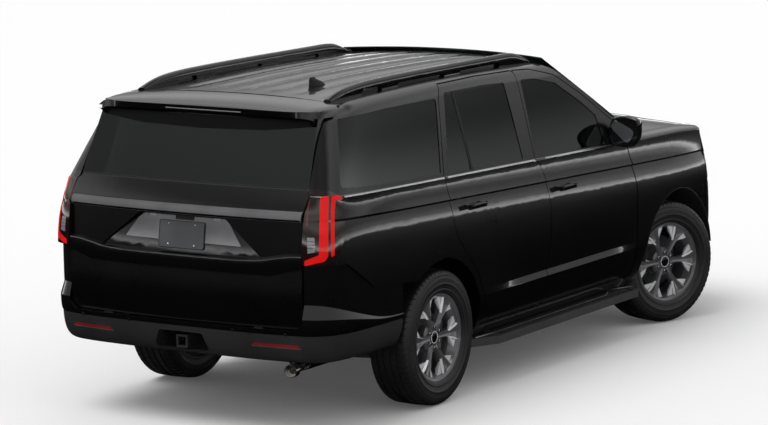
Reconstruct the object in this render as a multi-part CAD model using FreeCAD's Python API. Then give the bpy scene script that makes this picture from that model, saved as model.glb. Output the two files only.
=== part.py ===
"""Full-size sport utility vehicle, five doors, three rows of seats.

Millimetres. X points to the vehicle's right, Y forwards, Z up. The origin is on the
ground, below the middle of the overall length. The front wheels are steered to the right.
Each piece is written to parts/NODE.step.
"""
import FreeCAD
import Part
import math
import os
from FreeCAD import Vector

# Overall sizes
OVERALL_LENGTH = 5330.0
WHEELBASE = 3112.0
FRONT_OVERHANG = 950.0
BODY_HALF_WIDTH = 1012.0
FRONT_AXLE_Y = OVERALL_LENGTH / 2 - FRONT_OVERHANG
REAR_AXLE_Y = FRONT_AXLE_Y - WHEELBASE

# Wheels and tyres
TYRE_RADIUS = 405.0
TYRE_WIDTH = 275.0
RIM_FLANGE_RADIUS = 270.0
RIM_WIDTH = 232.0
RIM_LIP = 8.0
RIM_FLANGE_HEIGHT = 14.3
WHEEL_TRACK_HALF = 856.0
STEER_REST_DEG = 20.0
KINGPIN_X = 742.0
ARCH_RADIUS = 474.0
WHEEL_SPOKES = 6
BRAKE_DISC_RADIUS = 172.0
BRAKE_DISC_GAP = 6.0

# Walls and gaps
DOOR_THICKNESS = 105.0
FRAME_THICKNESS = 42.0
PILLAR_DEPTH = 46.0
DOOR_SKIN_DEPTH = 24.0
DOOR_STEP = 13.0
DOOR_SEAL_GAP = 8.0
SHUT_GAP = 6.0
NOSE_SPLIT_Y = 2192.0
SEAT_GAP = 0.3
COVER_GAP = 0.8
GLASS_THICKNESS = 5.0
GLASS_INSET = 4.0
APERTURE_MARGIN = 46.0

# Body lines in side view
SILL_Z = 330.0
DOOR_BOTTOM_Z = 402.0
HINGES = ((560.0, 1092.0, -120.0), (1000.0, 1090.0, -77.0))
FRONT_DOOR_EDGE_Y = 1092.0
REAR_DOOR_EDGE_Y = -76.0
RIDGE_Z = 585.0
RIDGE_HEIGHT = 36.0
RIDGE_DEPTH = 13.0
CREASE_Z = 1164.0
CREASE_SLOPE = -0.0335
CREASE_HEIGHT = 13.0
BELT_Z = 1310.0
BELT_SLOPE = -0.026
ROOF_SIDE_Z = 1875.0
GATE_SHUT_Y = -2085.0
TAILGATE_TOP_Z = 925.0
TAILGATE_BOTTOM_Z = 634.0
TAILGATE_LIP_DEPTH = 8.0
TAILGATE_LIP_HEIGHT = 20.0
TAILGATE_GAP = 7.2
GATE_HALF_WIDTH = 800.0
GATE_GLASS_FOOT_HALF = 784.0
GATE_GLASS_TOP_HALF = 742.0
SPOILER_SIDE_X = 735.0
FOLD_RISE = 41.0
LEDGE_DEPTH = 14.0
LINER_SHEET = 5.0

PARTS = "parts"


def clamped_knots(count, degree):
    """Knots and multiplicities of a clamped uniform spline with that many poles."""
    spans = count - degree
    return [float(i) for i in range(spans + 1)], [degree + 1] + [1] * (spans - 1) + [degree + 1]


def pole_curve(poles, degree):
    """Spline edge with these control points."""
    knots, mults = clamped_knots(len(poles), degree)
    curve = Part.BSplineCurve()
    curve.buildFromPolesMultsKnots(poles, mults, knots, False, degree)
    return curve.toShape()


def pole_face(rows, degree_u, degree_v):
    """Spline face whose control net is rows[u][v]."""
    u_knots, u_mults = clamped_knots(len(rows), degree_u)
    v_knots, v_mults = clamped_knots(len(rows[0]), degree_v)
    surface = Part.BSplineSurface()
    surface.buildFromPolesMultsKnots(
        rows, u_mults, v_mults, u_knots, v_knots, False, False, degree_u, degree_v
    )
    return surface.toShape()


def sewn_solid(faces):
    """One closed solid from faces that share their boundary curves."""
    shape = Part.Compound(faces)
    shape.sewShape(0.01)
    solid = Part.Solid(shape.Shells[0])
    if solid.Volume < 0:
        solid.reverse()
    return solid


def wall(outer, inner, degrees, station_degree=3):
    """Solid between two skins. Each skin is a list of strips, a strip is rows of poles
    by station, and neighbouring strips share their edge row."""
    faces = []
    for skin in (outer, inner):
        for strip, degree in zip(skin, degrees):
            faces.append(pole_face(strip, station_degree, degree))
    for strip_out, strip_in, degree in zip(outer, inner, degrees):
        for end in (0, -1):
            edge_out = pole_curve(strip_out[end], degree)
            edge_in = pole_curve(strip_in[end], degree)
            faces.append(Part.makeRuledSurface(edge_out, edge_in))
    for strip_index, column in ((0, 0), (-1, -1)):
        edge_out = pole_curve([row[column] for row in outer[strip_index]], station_degree)
        edge_in = pole_curve([row[column] for row in inner[strip_index]], station_degree)
        faces.append(Part.makeRuledSurface(edge_out, edge_in))
    return sewn_solid(faces)


def box(x0, x1, y0, y1, z0, z1):
    """Block between two corners."""
    return Part.makeBox(x1 - x0, y1 - y0, z1 - z0, Vector(x0, y0, z0))


def cylinder(radius, start, end):
    """Round bar from start to end."""
    axis = end - start
    return Part.makeCylinder(radius, axis.Length, start, axis)


def rounded_wire(points, to_vector):
    """Closed outline through (a, b, corner radius) points."""
    count = len(points)
    tangents = []
    for i, (a, b, radius) in enumerate(points):
        here = Vector(a, b, 0)
        before = Vector(points[i - 1][0], points[i - 1][1], 0) - here
        after = Vector(points[(i + 1) % count][0], points[(i + 1) % count][1], 0) - here
        turn = before.getAngle(after)
        if radius <= 0 or abs(turn - math.pi) < 1e-3:
            tangents.append((here, None, here))
            continue
        reach = min(radius / math.tan(turn / 2), before.Length * 0.49, after.Length * 0.49)
        bulge = reach * math.tan(turn / 2)
        first = here + before.normalize() * reach
        last = here + after.normalize() * reach
        bisector = (before + after).normalize()
        middle = here + bisector * (bulge / math.sin(turn / 2) - bulge)
        tangents.append((first, middle, last))
    edges = []
    for i in range(count):
        first, middle, last = tangents[i]
        if middle is not None:
            arc = Part.Arc(to_vector(first), to_vector(middle), to_vector(last))
            edges.append(arc.toShape())
        following = tangents[(i + 1) % count][0]
        if (following - last).Length > 1e-6:
            edges.append(Part.LineSegment(to_vector(last), to_vector(following)).toShape())
    return Part.Wire(edges)


def prism_x(points, x0, x1):
    """Side-view outline of (y, z, radius) points, extruded from x0 to x1."""
    wire = rounded_wire(points, lambda p: Vector(x0, p.x, p.y))
    return Part.Face(wire).extrude(Vector(x1 - x0, 0, 0))


def prism_y(points, y0, y1):
    """Rear-view outline of (x, z, radius) points, extruded from y0 to y1."""
    wire = rounded_wire(points, lambda p: Vector(p.x, y0, p.y))
    return Part.Face(wire).extrude(Vector(0, y1 - y0, 0))


def prism_z(points, z0, z1):
    """Plan outline of (x, y, radius) points, extruded from z0 to z1."""
    wire = rounded_wire(points, lambda p: Vector(p.x, p.y, z0))
    return Part.Face(wire).extrude(Vector(0, 0, z1 - z0))


def grown(points, amount):
    """The outline moved outwards by amount, corner by corner."""
    count = len(points)
    area = sum(
        points[i][0] * points[(i + 1) % count][1] - points[(i + 1) % count][0] * points[i][1]
        for i in range(count)
    )
    side = 1.0 if area > 0 else -1.0
    moved = []
    for i, (a, b, radius) in enumerate(points):
        before = Vector(a - points[i - 1][0], b - points[i - 1][1], 0).normalize()
        after = points[(i + 1) % count]
        after = Vector(after[0] - a, after[1] - b, 0).normalize()
        n1 = Vector(before.y, -before.x, 0) * side
        n2 = Vector(after.y, -after.x, 0) * side
        normal = (n1 + n2).normalize()
        reach = amount / max(0.35, normal.dot(n1))
        moved.append((a + normal.x * reach, b + normal.y * reach, radius))
    return moved


def mirrored(shape):
    """The same piece on the other side of the vehicle."""
    return shape.mirror(Vector(0, 0, 0), Vector(1, 0, 0))


def save(name, *shapes):
    """Writes one node, whose solids don't touch."""
    solids = [solid for shape in shapes for solid in shape.Solids]
    node = solids[0] if len(solids) == 1 else Part.Compound(solids)
    node.exportStep(os.path.join(PARTS, name + ".step"))


def belt_z(y):
    """Height of the belt line, which falls away at the nose."""
    return BELT_Z + BELT_SLOPE * y - 30.0 * max(0.0, (y - 1950.0) / 350.0) ** 2


def crease_z(y):
    """Height of the shoulder crease."""
    return CREASE_Z + CREASE_SLOPE * y


def roof_side_z(y):
    """Height of the roof's side edge."""
    return ROOF_SIDE_Z - 1.6e-5 * (y + 900.0) ** 2


def smooth_window(y, start, end, fade):
    """1 between start and end, and 0 outside, over a soft fade."""
    rise = min(1.0, max(0.0, (y - start) / fade))
    fall = min(1.0, max(0.0, (end - y) / fade))
    share = min(rise, fall)
    return share * share * (3 - 2 * share)


# Side stations: Y, how far the plan curve has drawn in, and the skin's turn in plan
SIDE_STATIONS = [
    (-2633.0, 330.0, 80.0),
    (-2622.0, 214.0, 72.0),
    (-2610.0, 158.0, 62.0),
    (-2582.0, 98.0, 48.0),
    (-2530.0, 54.0, 32.0),
    (-2450.0, 28.0, 14.0),
    (-2330.0, 15.0, 6.0),
    (-2150.0, 8.0, 2.0),
    (-1900.0, 4.0, 0.0),
    (-1600.0, 1.0, 0.0),
    (-1250.0, 0.0, 0.0),
    (-900.0, 0.0, 0.0),
    (-720.0, 0.0, 0.0),
    (-500.0, 0.0, 0.0),
    (-200.0, 0.0, 0.0),
    (150.0, 0.0, 0.0),
    (500.0, 0.5, 0.0),
    (800.0, 1.0, 0.0),
    (1000.0, 2.0, 0.0),
    (1250.0, 4.0, 0.0),
    (1500.0, 8.0, 0.0),
    (1750.0, 14.0, 0.0),
    (2000.0, 26.0, -3.0),
    (2190.0, 43.0, -7.0),
    (2300.0, 60.0, -12.0),
]


def rear_lean(y, z):
    """How far the tail leans forwards at height z, fading along the side."""
    heights = ((1150.0, 0.0), (1300.0, 32.0), (1408.0, 128.0), (1785.0, 300.0), (1900.0, 350.0))
    lean = 0.0
    for (z0, l0), (z1, l1) in zip(heights, heights[1:]):
        if z > z0:
            lean = l0 + (l1 - l0) * min(1.0, (z - z0) / (z1 - z0))
    share = min(1.0, max(0.0, (-1900.0 - y) / 560.0))
    return lean * share * share * (3 - 2 * share)


def draw_in_share(y, z):
    """The cabin's rear corner draws in less than the body below the belt."""
    if y > 0 or z < 1290.0:
        return 1.0
    return 1.0 - 0.5 * min(1.0, (z - 1290.0) / 110.0)


def lower_profile(y):
    """Half section from the sill to the shoulder: strips of (inset, height) poles."""
    crease = crease_z(y)
    belt = belt_z(y)
    ridge = RIDGE_DEPTH * smooth_window(y, -760.0, 1010.0, 190.0)
    fold = 9.0 * smooth_window(y, -2150.0, 2100.0, 260.0)
    top = RIDGE_Z + RIDGE_HEIGHT
    return [
        [(104, SILL_Z), (60, 390), (26, 470), (7, RIDGE_Z)],
        [(7, RIDGE_Z), (6 + ridge, top)],
        [(6 + ridge, top), (6 + ridge * 0.4, 690), (0, 800), (0, 960), (12, crease - 75), (33, crease - 7)],
        [(33, crease - 7), (33 - fold, crease - 7 + CREASE_HEIGHT)],
        [(33 - fold, crease - 7 + CREASE_HEIGHT), (40, crease + 46), (50, belt - 50), (52, belt - 10)],
    ]


LOWER_DEGREES = [3, 1, 3, 1, 3]


def cabin_profile(y):
    """Half section from the belt to the roof's side edge."""
    belt = belt_z(y)
    roof = roof_side_z(y)
    rail = roof - 78.0
    span = rail - belt - 4
    return [
        [(52, belt - 10), (53, belt + 2), (62, belt + 4)],
        [(62, belt + 4), (106, belt + span * 0.33), (152, belt + span * 0.67), (205, rail)],
        [(205, rail), (218, rail + 34), (240, roof - 8), (292, roof)],
    ]


CABIN_DEGREES = [2, 3, 3]


def side_pole(station, inset, z, depth):
    """Pole of the side skin, depth inside the outer surface."""
    y, draw_in, turn = station
    x = BODY_HALF_WIDTH - inset - draw_in * draw_in_share(y, z)
    angle = math.radians(turn)
    return Vector(
        x - depth * math.cos(angle),
        y + rear_lean(y, z) + depth * math.sin(angle),
        z,
    )


def wall_depth(z, y, low, high):
    """Wall thickness below and above the belt."""
    share = min(1.0, max(0.0, (z - belt_z(y) + 60.0) / 60.0))
    return low + (high - low) * share


def side_skin(low, high):
    """The side's strips of poles at a depth below the outer surface."""
    strips = []
    sections = [lower_profile(s[0]) + cabin_profile(s[0]) for s in SIDE_STATIONS]
    for index in range(len(sections[0])):
        rows = []
        for station, section in zip(SIDE_STATIONS, sections):
            y = station[0]
            rows.append([side_pole(station, i, z, wall_depth(z, y, low, high)) for i, z in section[index]])
        strips.append(rows)
    return strips


def side_slab(low0, high0, low1, high1):
    """Right side wall between two depths."""
    return wall(side_skin(low0, high0), side_skin(low1, high1), LOWER_DEGREES + CABIN_DEGREES)


WHEEL_CENTRE_Z = TYRE_RADIUS

# Side-view outlines of (y, z, corner radius)
FRONT_DOOR = [
    (FRONT_DOOR_EDGE_Y, DOOR_BOTTOM_Z, 25),
    (FRONT_DOOR_EDGE_Y, 990, 300),
    (1066, 1112, 250),
    (1036, 1242, 60),
    (985, 1392, 30),
    (610, 1632, 500),
    (330, 1778, 120),
    (60, 1838, 200),
    (-137, 1848, 20),
    (-178, 1320, 90),
    (-108, 1242, 120),
    (REAR_DOOR_EDGE_Y + SHUT_GAP, 1040, 250),
    (-76, 850, 300),
    (-110, 615, 300),
    (-120, DOOR_BOTTOM_Z, 25),
]
REAR_DOOR = [
    (-126, DOOR_BOTTOM_Z, 25),
    (-116, 615, 300),
    (-82, 850, 300),
    (REAR_DOOR_EDGE_Y, 1040, 250),
    (-114, 1242, 120),
    (-184, 1320, 90),
    (-143, 1848, 20),
    (-600, 1858, 400),
    (-1044, 1856, 20),
    (-1112, 1775, 30),
    (-1282, 1352, 40),
    (-1272, 1193, 200),
    (-1240, 1010, 120),
    (-1120, 868, 150),
    (-985, 742, 150),
    (-905, 590, 150),
    (-880, DOOR_BOTTOM_Z, 25),
]
FRONT_WINDOW = [
    (752, 1302, 14),
    (728, 1488, 24),
    (560, 1600, 400),
    (312, 1734, 60),
    (60, 1784, 200),
    (-102, 1792, 16),
    (-162, 1326, 14),
]
REAR_WINDOW = [
    (-320, 1330, 14),
    (-312, 1796, 16),
    (-600, 1808, 400),
    (-1034, 1808, 18),
    (-1230, 1358, 18),
]
QUARTER_WINDOW = [
    (-1312, 1364, 18),
    (-1138, 1786, 18),
    (-1700, 1788, 600),
    (-2186, 1776, 18),
    (-2370, 1416, 18),
    (-2150, 1396, 300),
]


def pane(outline):
    """Side glass: the opening's outline less a seating gap, set into the frame."""
    shell = side_slab(GLASS_INSET, GLASS_INSET, GLASS_INSET + GLASS_THICKNESS, GLASS_INSET + GLASS_THICKNESS)
    return shell.common(prism_x(grown(outline, -SEAT_GAP), 500, 1100))


def door(outline, windows):
    """A door as thick as the real one: a skin and a smaller inner body behind it."""
    skin = side_slab(0, 0, DOOR_SKIN_DEPTH, DOOR_SKIN_DEPTH)
    skin = skin.common(prism_x(outline, 500, 1100))
    body = side_slab(DOOR_SKIN_DEPTH - 2, DOOR_SKIN_DEPTH - 2, DOOR_THICKNESS, FRAME_THICKNESS)
    body = body.common(prism_x(grown(outline, -DOOR_STEP), 500, 1100))
    panel = skin.fuse(body)
    for window in windows:
        panel = panel.cut(prism_x(window, 500, 1100))
    return panel.removeSplitter()


def door_handle(y, z):
    """Pull handle that stands off the door on two feet."""
    face = BODY_HALF_WIDTH - 14.0
    bar = prism_z([(face + 24, y - 112, 12), (face + 24, y + 112, 12), (face + 40, y + 96, 20), (face + 40, y - 96, 20)], z - 15, z + 15)
    feet = [box(face - 10, face + 30, y + s * 86 - 16, y + s * 86 + 16, z - 13, z + 13) for s in (-1, 1)]
    return bar.fuse(feet).removeSplitter()


def side_body(front_door, rear_door):
    """Quarter panel, sill, pillars and roof side of the right side, with the door rebates."""
    full = side_slab(0, 0, DOOR_THICKNESS + DOOR_SEAL_GAP + PILLAR_DEPTH, FRAME_THICKNESS + DOOR_SEAL_GAP + PILLAR_DEPTH)
    rebate = side_slab(-60, -60, DOOR_THICKNESS + DOOR_SEAL_GAP, FRAME_THICKNESS + DOOR_SEAL_GAP)
    for outline in (FRONT_DOOR, REAR_DOOR):
        full = full.cut(rebate.common(prism_x(grown(outline, SHUT_GAP), 500, 1200)))
        full = full.cut(prism_x(grown(outline, -APERTURE_MARGIN), 400, 1200))
    full = full.cut(prism_x(QUARTER_WINDOW, 400, 1200))
    full = full.cut(wheel_arch(REAR_AXLE_Y, ARCH_RADIUS))
    # Ahead of the door and above the foot of the windscreen pillar
    front = [(1098, 200, 0), (1098, 990, 300), (1072, 1112, 250), (1046, 1242, 60), (1046, 1312, 0), (1256, 1312, 0),
             (934, 1458, 200), (635, 1654, 400), (345, 1817, 200), (120, 1900, 0), (120, 2100, 0), (2700, 2100, 0), (2700, 200, 0)]
    full = full.cut(prism_x(front, 300, 1200))
    # The spoiler, the gate and the bumper's side
    full = full.cut(box(300, SPOILER_SIDE_X, -2700, GATE_SHUT_Y, SPOILER_FOOT_Z, 2000))
    full = full.cut(prism_x(SPOILER_SHUT, SPOILER_SIDE_X - 1, 1200))
    full = full.cut(prism_x(grown(BUMPER_SIDE, COVER_GAP), 300, 1200))
    full = full.cut(prism_y(GATE_OPENING, -2900, -1995))
    hinges = []
    for z, front_edge, rear_edge in HINGES:
        hinges.append(hinge_block(front_edge, z, front_door))
        hinges.append(hinge_block(rear_edge, z, rear_door))
    return full.fuse(hinges)


def hinge_block(edge_y, z, leaf):
    """Body half of a door hinge: stands on the pillar and ends just ahead of the door's inner body."""
    foot = BODY_HALF_WIDTH - DOOR_THICKNESS - DOOR_SEAL_GAP - 12
    block = box(foot, BODY_HALF_WIDTH - 38, edge_y - DOOR_STEP - 20, edge_y - DOOR_STEP + 11, z - 35, z + 35)
    for shift in (Vector(0, SEAT_GAP, 0), Vector(-2, 0, 0)):
        moved = leaf.copy()
        moved.translate(shift)
        block = block.cut(moved)
    return max(block.Solids, key=lambda solid: solid.BoundBox.YMax)


def wheel_arch(axle_y, radius):
    """Round cutter for a wheel opening."""
    return Part.makeCylinder(radius, 800, Vector(500, axle_y, WHEEL_CENTRE_Z), Vector(1, 0, 0))


# Side-view outline of the rear bumper cover
BUMPER_SIDE = [
    (-1500, 300, 0),
    (-1500, 778, 0),
    (-2150, 822, 60),
    (-2420, 1000, 60),
    (-2900, 1000, 0),
    (-2900, 300, 0),
]

# Side view of what the spoiler takes from the body side, with its slanted shut line
SPOILER_FOOT_Z = 1790.0
SPOILER_SHUT = [
    (GATE_SHUT_Y, 2100, 0),
    (GATE_SHUT_Y, 1868, 10),
    (-2198, SPOILER_FOOT_Z, 10),
    (-2800, SPOILER_FOOT_Z, 0),
    (-2800, 2100, 0),
]

# Rear-view outline of the upper gate's right edge
GATE_EDGE = [
    (GATE_HALF_WIDTH, 1380, 8),
    (GATE_GLASS_FOOT_HALF, 1400, 10),
    (GATE_GLASS_TOP_HALF, SPOILER_FOOT_Z, 0),
    (GATE_GLASS_TOP_HALF, 1860, 0),
]


def both_edges(foot, edge):
    """Closed outline from the right half's foot and edge points and their mirror images."""
    right = foot + edge
    return right + [(-x, z, r) for x, z, r in reversed(right)]


# Rear-view outline of the opening between the tail pillars
GATE_OPENING = both_edges(
    [(GATE_HALF_WIDTH + SHUT_GAP, 600, 0)],
    [(x + SHUT_GAP, z, r) for x, z, r in GATE_EDGE[:-1]],
)


def rear_bow(x):
    """How much the tail curves forwards away from the centre line."""
    return 52.0 * (abs(x) / 800.0) ** 2.3


REAR_X = [-900.0, -820.0, -740.0, -640.0, -540.0, -440.0, -220.0, 0.0, 220.0, 440.0, 540.0, 640.0, 740.0, 820.0, 900.0]


def fold_rise(x):
    """How much the gate's fold rises at x."""
    share = min(1.0, max(0.0, (abs(x) - 478.0) / 270.0))
    return FOLD_RISE * share * share * (3 - 2 * share)


def rear_wall(strips, degrees, depth, surface=0.0):
    """Wall across the tail, from (y, z, share of the fold's rise) poles on the centre line."""
    skins = []
    for extra in (surface, surface + depth):
        skin = []
        for strip in strips:
            rows = []
            for x in REAR_X:
                rows.append([Vector(x, y + rear_bow(x) + extra, z + rise * fold_rise(x)) for y, z, rise in strip])
            skin.append(rows)
        skins.append(skin)
    return wall(skins[0], skins[1], degrees)


def tailgate():
    """Lower gate that folds down. Only its lip reaches the upper gate, for the swing."""
    section = [(-2636, 600, 0), (-2650, 700, 0), (-2664, 800, 0), (-2660, 880, 0), (-2656, 960, 0), (-2655, 1000, 0)]
    panel = rear_wall([section], [3], 62.0)
    panel = panel.common(prism_y(TAILGATE_OUTLINE, -2900, -2300))
    behind_lip = rear_wall([section], [3], 100.0, TAILGATE_LIP_DEPTH)
    return panel.cut(behind_lip.common(prism_y(TAILGATE_STEP, -2900, -2300)))


TAILGATE_OUTLINE = [
    (-GATE_HALF_WIDTH, TAILGATE_BOTTOM_Z + 40, 40),
    (-GATE_HALF_WIDTH + 40, TAILGATE_BOTTOM_Z, 40),
    (GATE_HALF_WIDTH - 40, TAILGATE_BOTTOM_Z, 40),
    (GATE_HALF_WIDTH, TAILGATE_BOTTOM_Z + 40, 40),
    (GATE_HALF_WIDTH, 980, 8),
    (610, TAILGATE_TOP_Z + 2, 120),
    (-610, TAILGATE_TOP_Z + 2, 120),
    (-GATE_HALF_WIDTH, 980, 8),
]
# Rear-view outline of what is cut away behind the tail gate's lip
TAILGATE_STEP = both_edges(
    [(610, TAILGATE_TOP_Z + 2 - TAILGATE_LIP_HEIGHT, 120)],
    [(GATE_HALF_WIDTH + 95, 1006 - TAILGATE_LIP_HEIGHT, 0), (GATE_HALF_WIDTH + 95, 1100, 0)],
)
GATE_OUTLINE = both_edges(
    [(610, TAILGATE_TOP_Z + 2 + TAILGATE_GAP, 120), (GATE_HALF_WIDTH, 980 + TAILGATE_GAP, 8)],
    GATE_EDGE,
)
GATE_WINDOW = both_edges([(722, 1452, 40)], [(688, 1772, 40)])
GATE_GLASS = both_edges([(GATE_GLASS_FOOT_HALF - 3.5, 1414, 14)], [(GATE_GLASS_TOP_HALF - 2.5, 1784, 8)])
GATE_STRIPS = [
    [(-2656, 900, 0), (-2664, 960, 0.5), (-2667, 996, 1), (-2663, 1014, 1)],
    [(-2663, 1014, 1), (-2640, 1022, 1)],
    [(-2640, 1022, 1), (-2636, 1130, 0.4), (-2630, 1238, 0)],
    [(-2630, 1238, 0), (-2654, 1245, 0)],
    [(-2654, 1245, 0), (-2665, 1258, 0), (-2657, 1290, 0), (-2633, 1303, 0)],
    [(-2633, 1303, 0), (-2601, 1350, 0), (-2548, 1408, 0)],
    [(-2548, 1408, 0), (-2478, 1562, 0), (-2410, 1702, 0), (-2352, 1830, 0)],
]
GATE_DEGREES = [3, 1, 2, 1, 3, 2, 3]

# Bay for the plate: its outline from behind, and its floor's (y, z) from foot to top
PLATE_BAY = [(-569, 1024, 6), (540, 1024, 6), (300, 1232, 22), (-293, 1232, 22)]
PLATE_BAY_FLOOR = [(-2631, 1018, 0), (-2622, 1130, 0), (-2598, 1236, 0)]


def liftgate():
    """Upper gate with its window frame, the bay for the plate and the roof spoiler."""
    panel = rear_wall(GATE_STRIPS, GATE_DEGREES, 60.0)
    panel = panel.common(prism_y(GATE_OUTLINE, -2900, -2200))
    bay = rear_wall([PLATE_BAY_FLOOR], [2], 100.0, -100.0)
    panel = panel.cut(bay.common(prism_y(PLATE_BAY, -2900, -2500)))
    rebate = rear_wall(GATE_STRIPS[6:], GATE_DEGREES[6:], 20.0 + GLASS_THICKNESS + SEAT_GAP, -20.0)
    panel = panel.cut(rebate.common(prism_y(grown(GATE_GLASS, SEAT_GAP), -2900, -2200)))
    panel = panel.cut(prism_y(GATE_WINDOW, -2900, -2200))
    return panel.fuse(spoiler()).removeSplitter()


def liftgate_glass():
    """Rear glass, bonded over the gate's flange."""
    slab = rear_wall(GATE_STRIPS[6:], GATE_DEGREES[6:], GLASS_THICKNESS)
    slab = slab.common(prism_y(GATE_GLASS, -2900, -2200))
    return largest(slab.cut(spoiler_solid()))


# The spoiler's rows from the middle to its right end: X and Z at the front, the lip's upper
# edge (X, Y, Z), then X and Z at the front and the lip's lower edge (X, Y, Z) of the underside
SPOILER_ROWS = [
    (0, 1880, 0, -2392, 1832, 0, 1800, 0, -2388, 1797),
    (300, 1876, 300, -2390, 1831, 300, 1799, 300, -2386, 1797),
    (520, 1867, 520, -2386, 1829, 520, 1797, 520, -2382, 1796),
    (640, 1858, 632, -2376, 1829, 640, 1794, 632, -2376, 1795),
    (716, 1851, 690, -2350, 1832, 690, 1788, 684, -2368, 1792),
    (768, 1842, 726, -2338, 1826, 712, 1782, 706, -2362, 1788),
    (790, 1806, 752, -2350, 1808, 735, 1778, 722, -2358, 1784),
    (803, 1772, 770, -2364, 1780, 768, 1768, 740, -2354, 1776),
]


def spoiler_solid():
    """The spoiler before it is trimmed to its shut line."""
    front = GATE_SHUT_Y + 25
    top = []
    bottom = []
    mirrored_rows = [(-1, row) for row in reversed(SPOILER_ROWS[1:])]
    for side, row in mirrored_rows + [(1, row) for row in SPOILER_ROWS]:
        x0, z0, x1, y1, z1, x2, z2, x3, y3, z3 = row
        row_top = []
        row_bottom = []
        for along, inwards in ((0.0, 0.0), (0.38, 0.1), (0.8, 0.35), (1.0, 1.0)):
            row_top.append(Vector(side * (x0 + (x1 - x0) * inwards), front + (y1 - front) * along, z0 + (z1 - z0) * inwards))
            row_bottom.append(Vector(side * (x2 + (x3 - x2) * inwards), front + (y3 - front) * along, z2 + (z3 - z2) * inwards))
        top.append(row_top)
        bottom.append(row_bottom)
    return wall([top], [bottom], [3])


def spoiler():
    """Roof-coloured top of the gate, which wraps round to both sides."""
    shut = prism_x(grown(SPOILER_SHUT, -SHUT_GAP), SPOILER_SIDE_X - SHUT_GAP, 1200)
    middle = box(-SPOILER_SIDE_X, SPOILER_SIDE_X, -2700, GATE_SHUT_Y - SHUT_GAP, 1700, 2000)
    keep = middle.fuse([shut, mirrored(shut)])
    return largest(spoiler_solid().common(keep))


def roof_top_z(y):
    """Height of the roof on its centre line."""
    return 1905.0 - 1.5e-5 * (y + 800.0) ** 2


def roof_crown(x):
    """How far the roof falls away from its centre line."""
    return 30.0 * (abs(x) / 720.0) ** 2.4


def roof_panel():
    """Roof skin with its pressed ribs."""
    xs = [i * 20.0 for i in range(-36, 37)]
    ys = [GATE_SHUT_Y, -1980, -1850, -1500, -1100, -700, -300, 50, 230, 330, 420]
    outer = []
    inner = []
    for y in ys:
        fade = smooth_window(y, -2040, 330, 200)
        row_out = []
        row_in = []
        for x in xs:
            groove = 7.0 * fade * max(0.0, math.cos(math.pi * x / 92.0)) ** 2 if abs(x) < 600 else 0.0
            front = 90.0 * (abs(x) / 720.0) ** 2 if y > 200 else 0.0
            z = roof_top_z(y) - roof_crown(x)
            row_out.append(Vector(x, y - front, z - groove))
            row_in.append(Vector(x, y - front, z - 36.0))
        outer.append(row_out)
        inner.append(row_in)
    return wall([outer], [inner], [3])


def side_draw_in(y):
    """How far the plan curve has drawn in at y."""
    for (y0, d0, _), (y1, d1, _) in zip(SIDE_STATIONS, SIDE_STATIONS[1:]):
        if y0 <= y <= y1:
            return d0 + (d1 - d0) * (y - y0) / (y1 - y0)
    return SIDE_STATIONS[-1][1]


FENDER_INSET = 148.0
FENDER_CROWN = 24.0

# Bonnet rows: Y and Z on the centre line, sweep at the sides and its power, side height and its power
HOOD_ROWS = [
    (1424.0, 1326.0, 165.0, 2.4, 0.0, 3.0),
    (1520.0, 1338.0, 145.0, 2.4, 0.0, 3.0),
    (1700.0, 1342.0, 125.0, 2.4, 0.0, 3.0),
    (1900.0, 1332.0, 130.0, 2.6, 0.0, 3.0),
    (2080.0, 1310.0, 150.0, 2.8, 0.0, 3.0),
    (2260.0, 1278.0, 190.0, 3.1, 0.0, 3.0),
    (2400.0, 1232.0, 225.0, 3.5, 0.0, 4.0),
    (2480.0, 1176.0, 244.0, 3.7, -14.0, 6.0),
    (2509.0, 1124.0, 250.0, 3.8, -40.0, 12.0),
]


def hood():
    """Bonnet lid with a raised middle and a rolled leading edge."""
    outer = []
    inner = []
    for y, z, sweep, sweep_power, lift, side_power in HOOD_ROWS:
        row_out = []
        row_in = []
        half = BODY_HALF_WIDTH - FENDER_INSET - SHUT_GAP - side_draw_in(y - sweep)
        edge = belt_z(y - sweep) + FENDER_CROWN + lift
        for share in (-1.0, -0.93, -0.84, -0.72, -0.56, -0.46, -0.24, 0.0, 0.24, 0.46, 0.56, 0.72, 0.84, 0.93, 1.0):
            z_here = z + (edge - z) * abs(share) ** side_power
            if abs(share) < 0.5:
                z_here += 12.0 * smooth_window(y, 1430.0, 2470.0, 300.0)
            here = Vector(half * share, y - sweep * abs(share) ** sweep_power, z_here)
            row_out.append(here)
            row_in.append(here + Vector(0, -24.0 if y > 2440 else 0.0, -24.0 if y < 2490 else -4.0))
        outer.append(row_out)
        inner.append(row_in)
    return wall([outer], [inner], [3])


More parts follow.
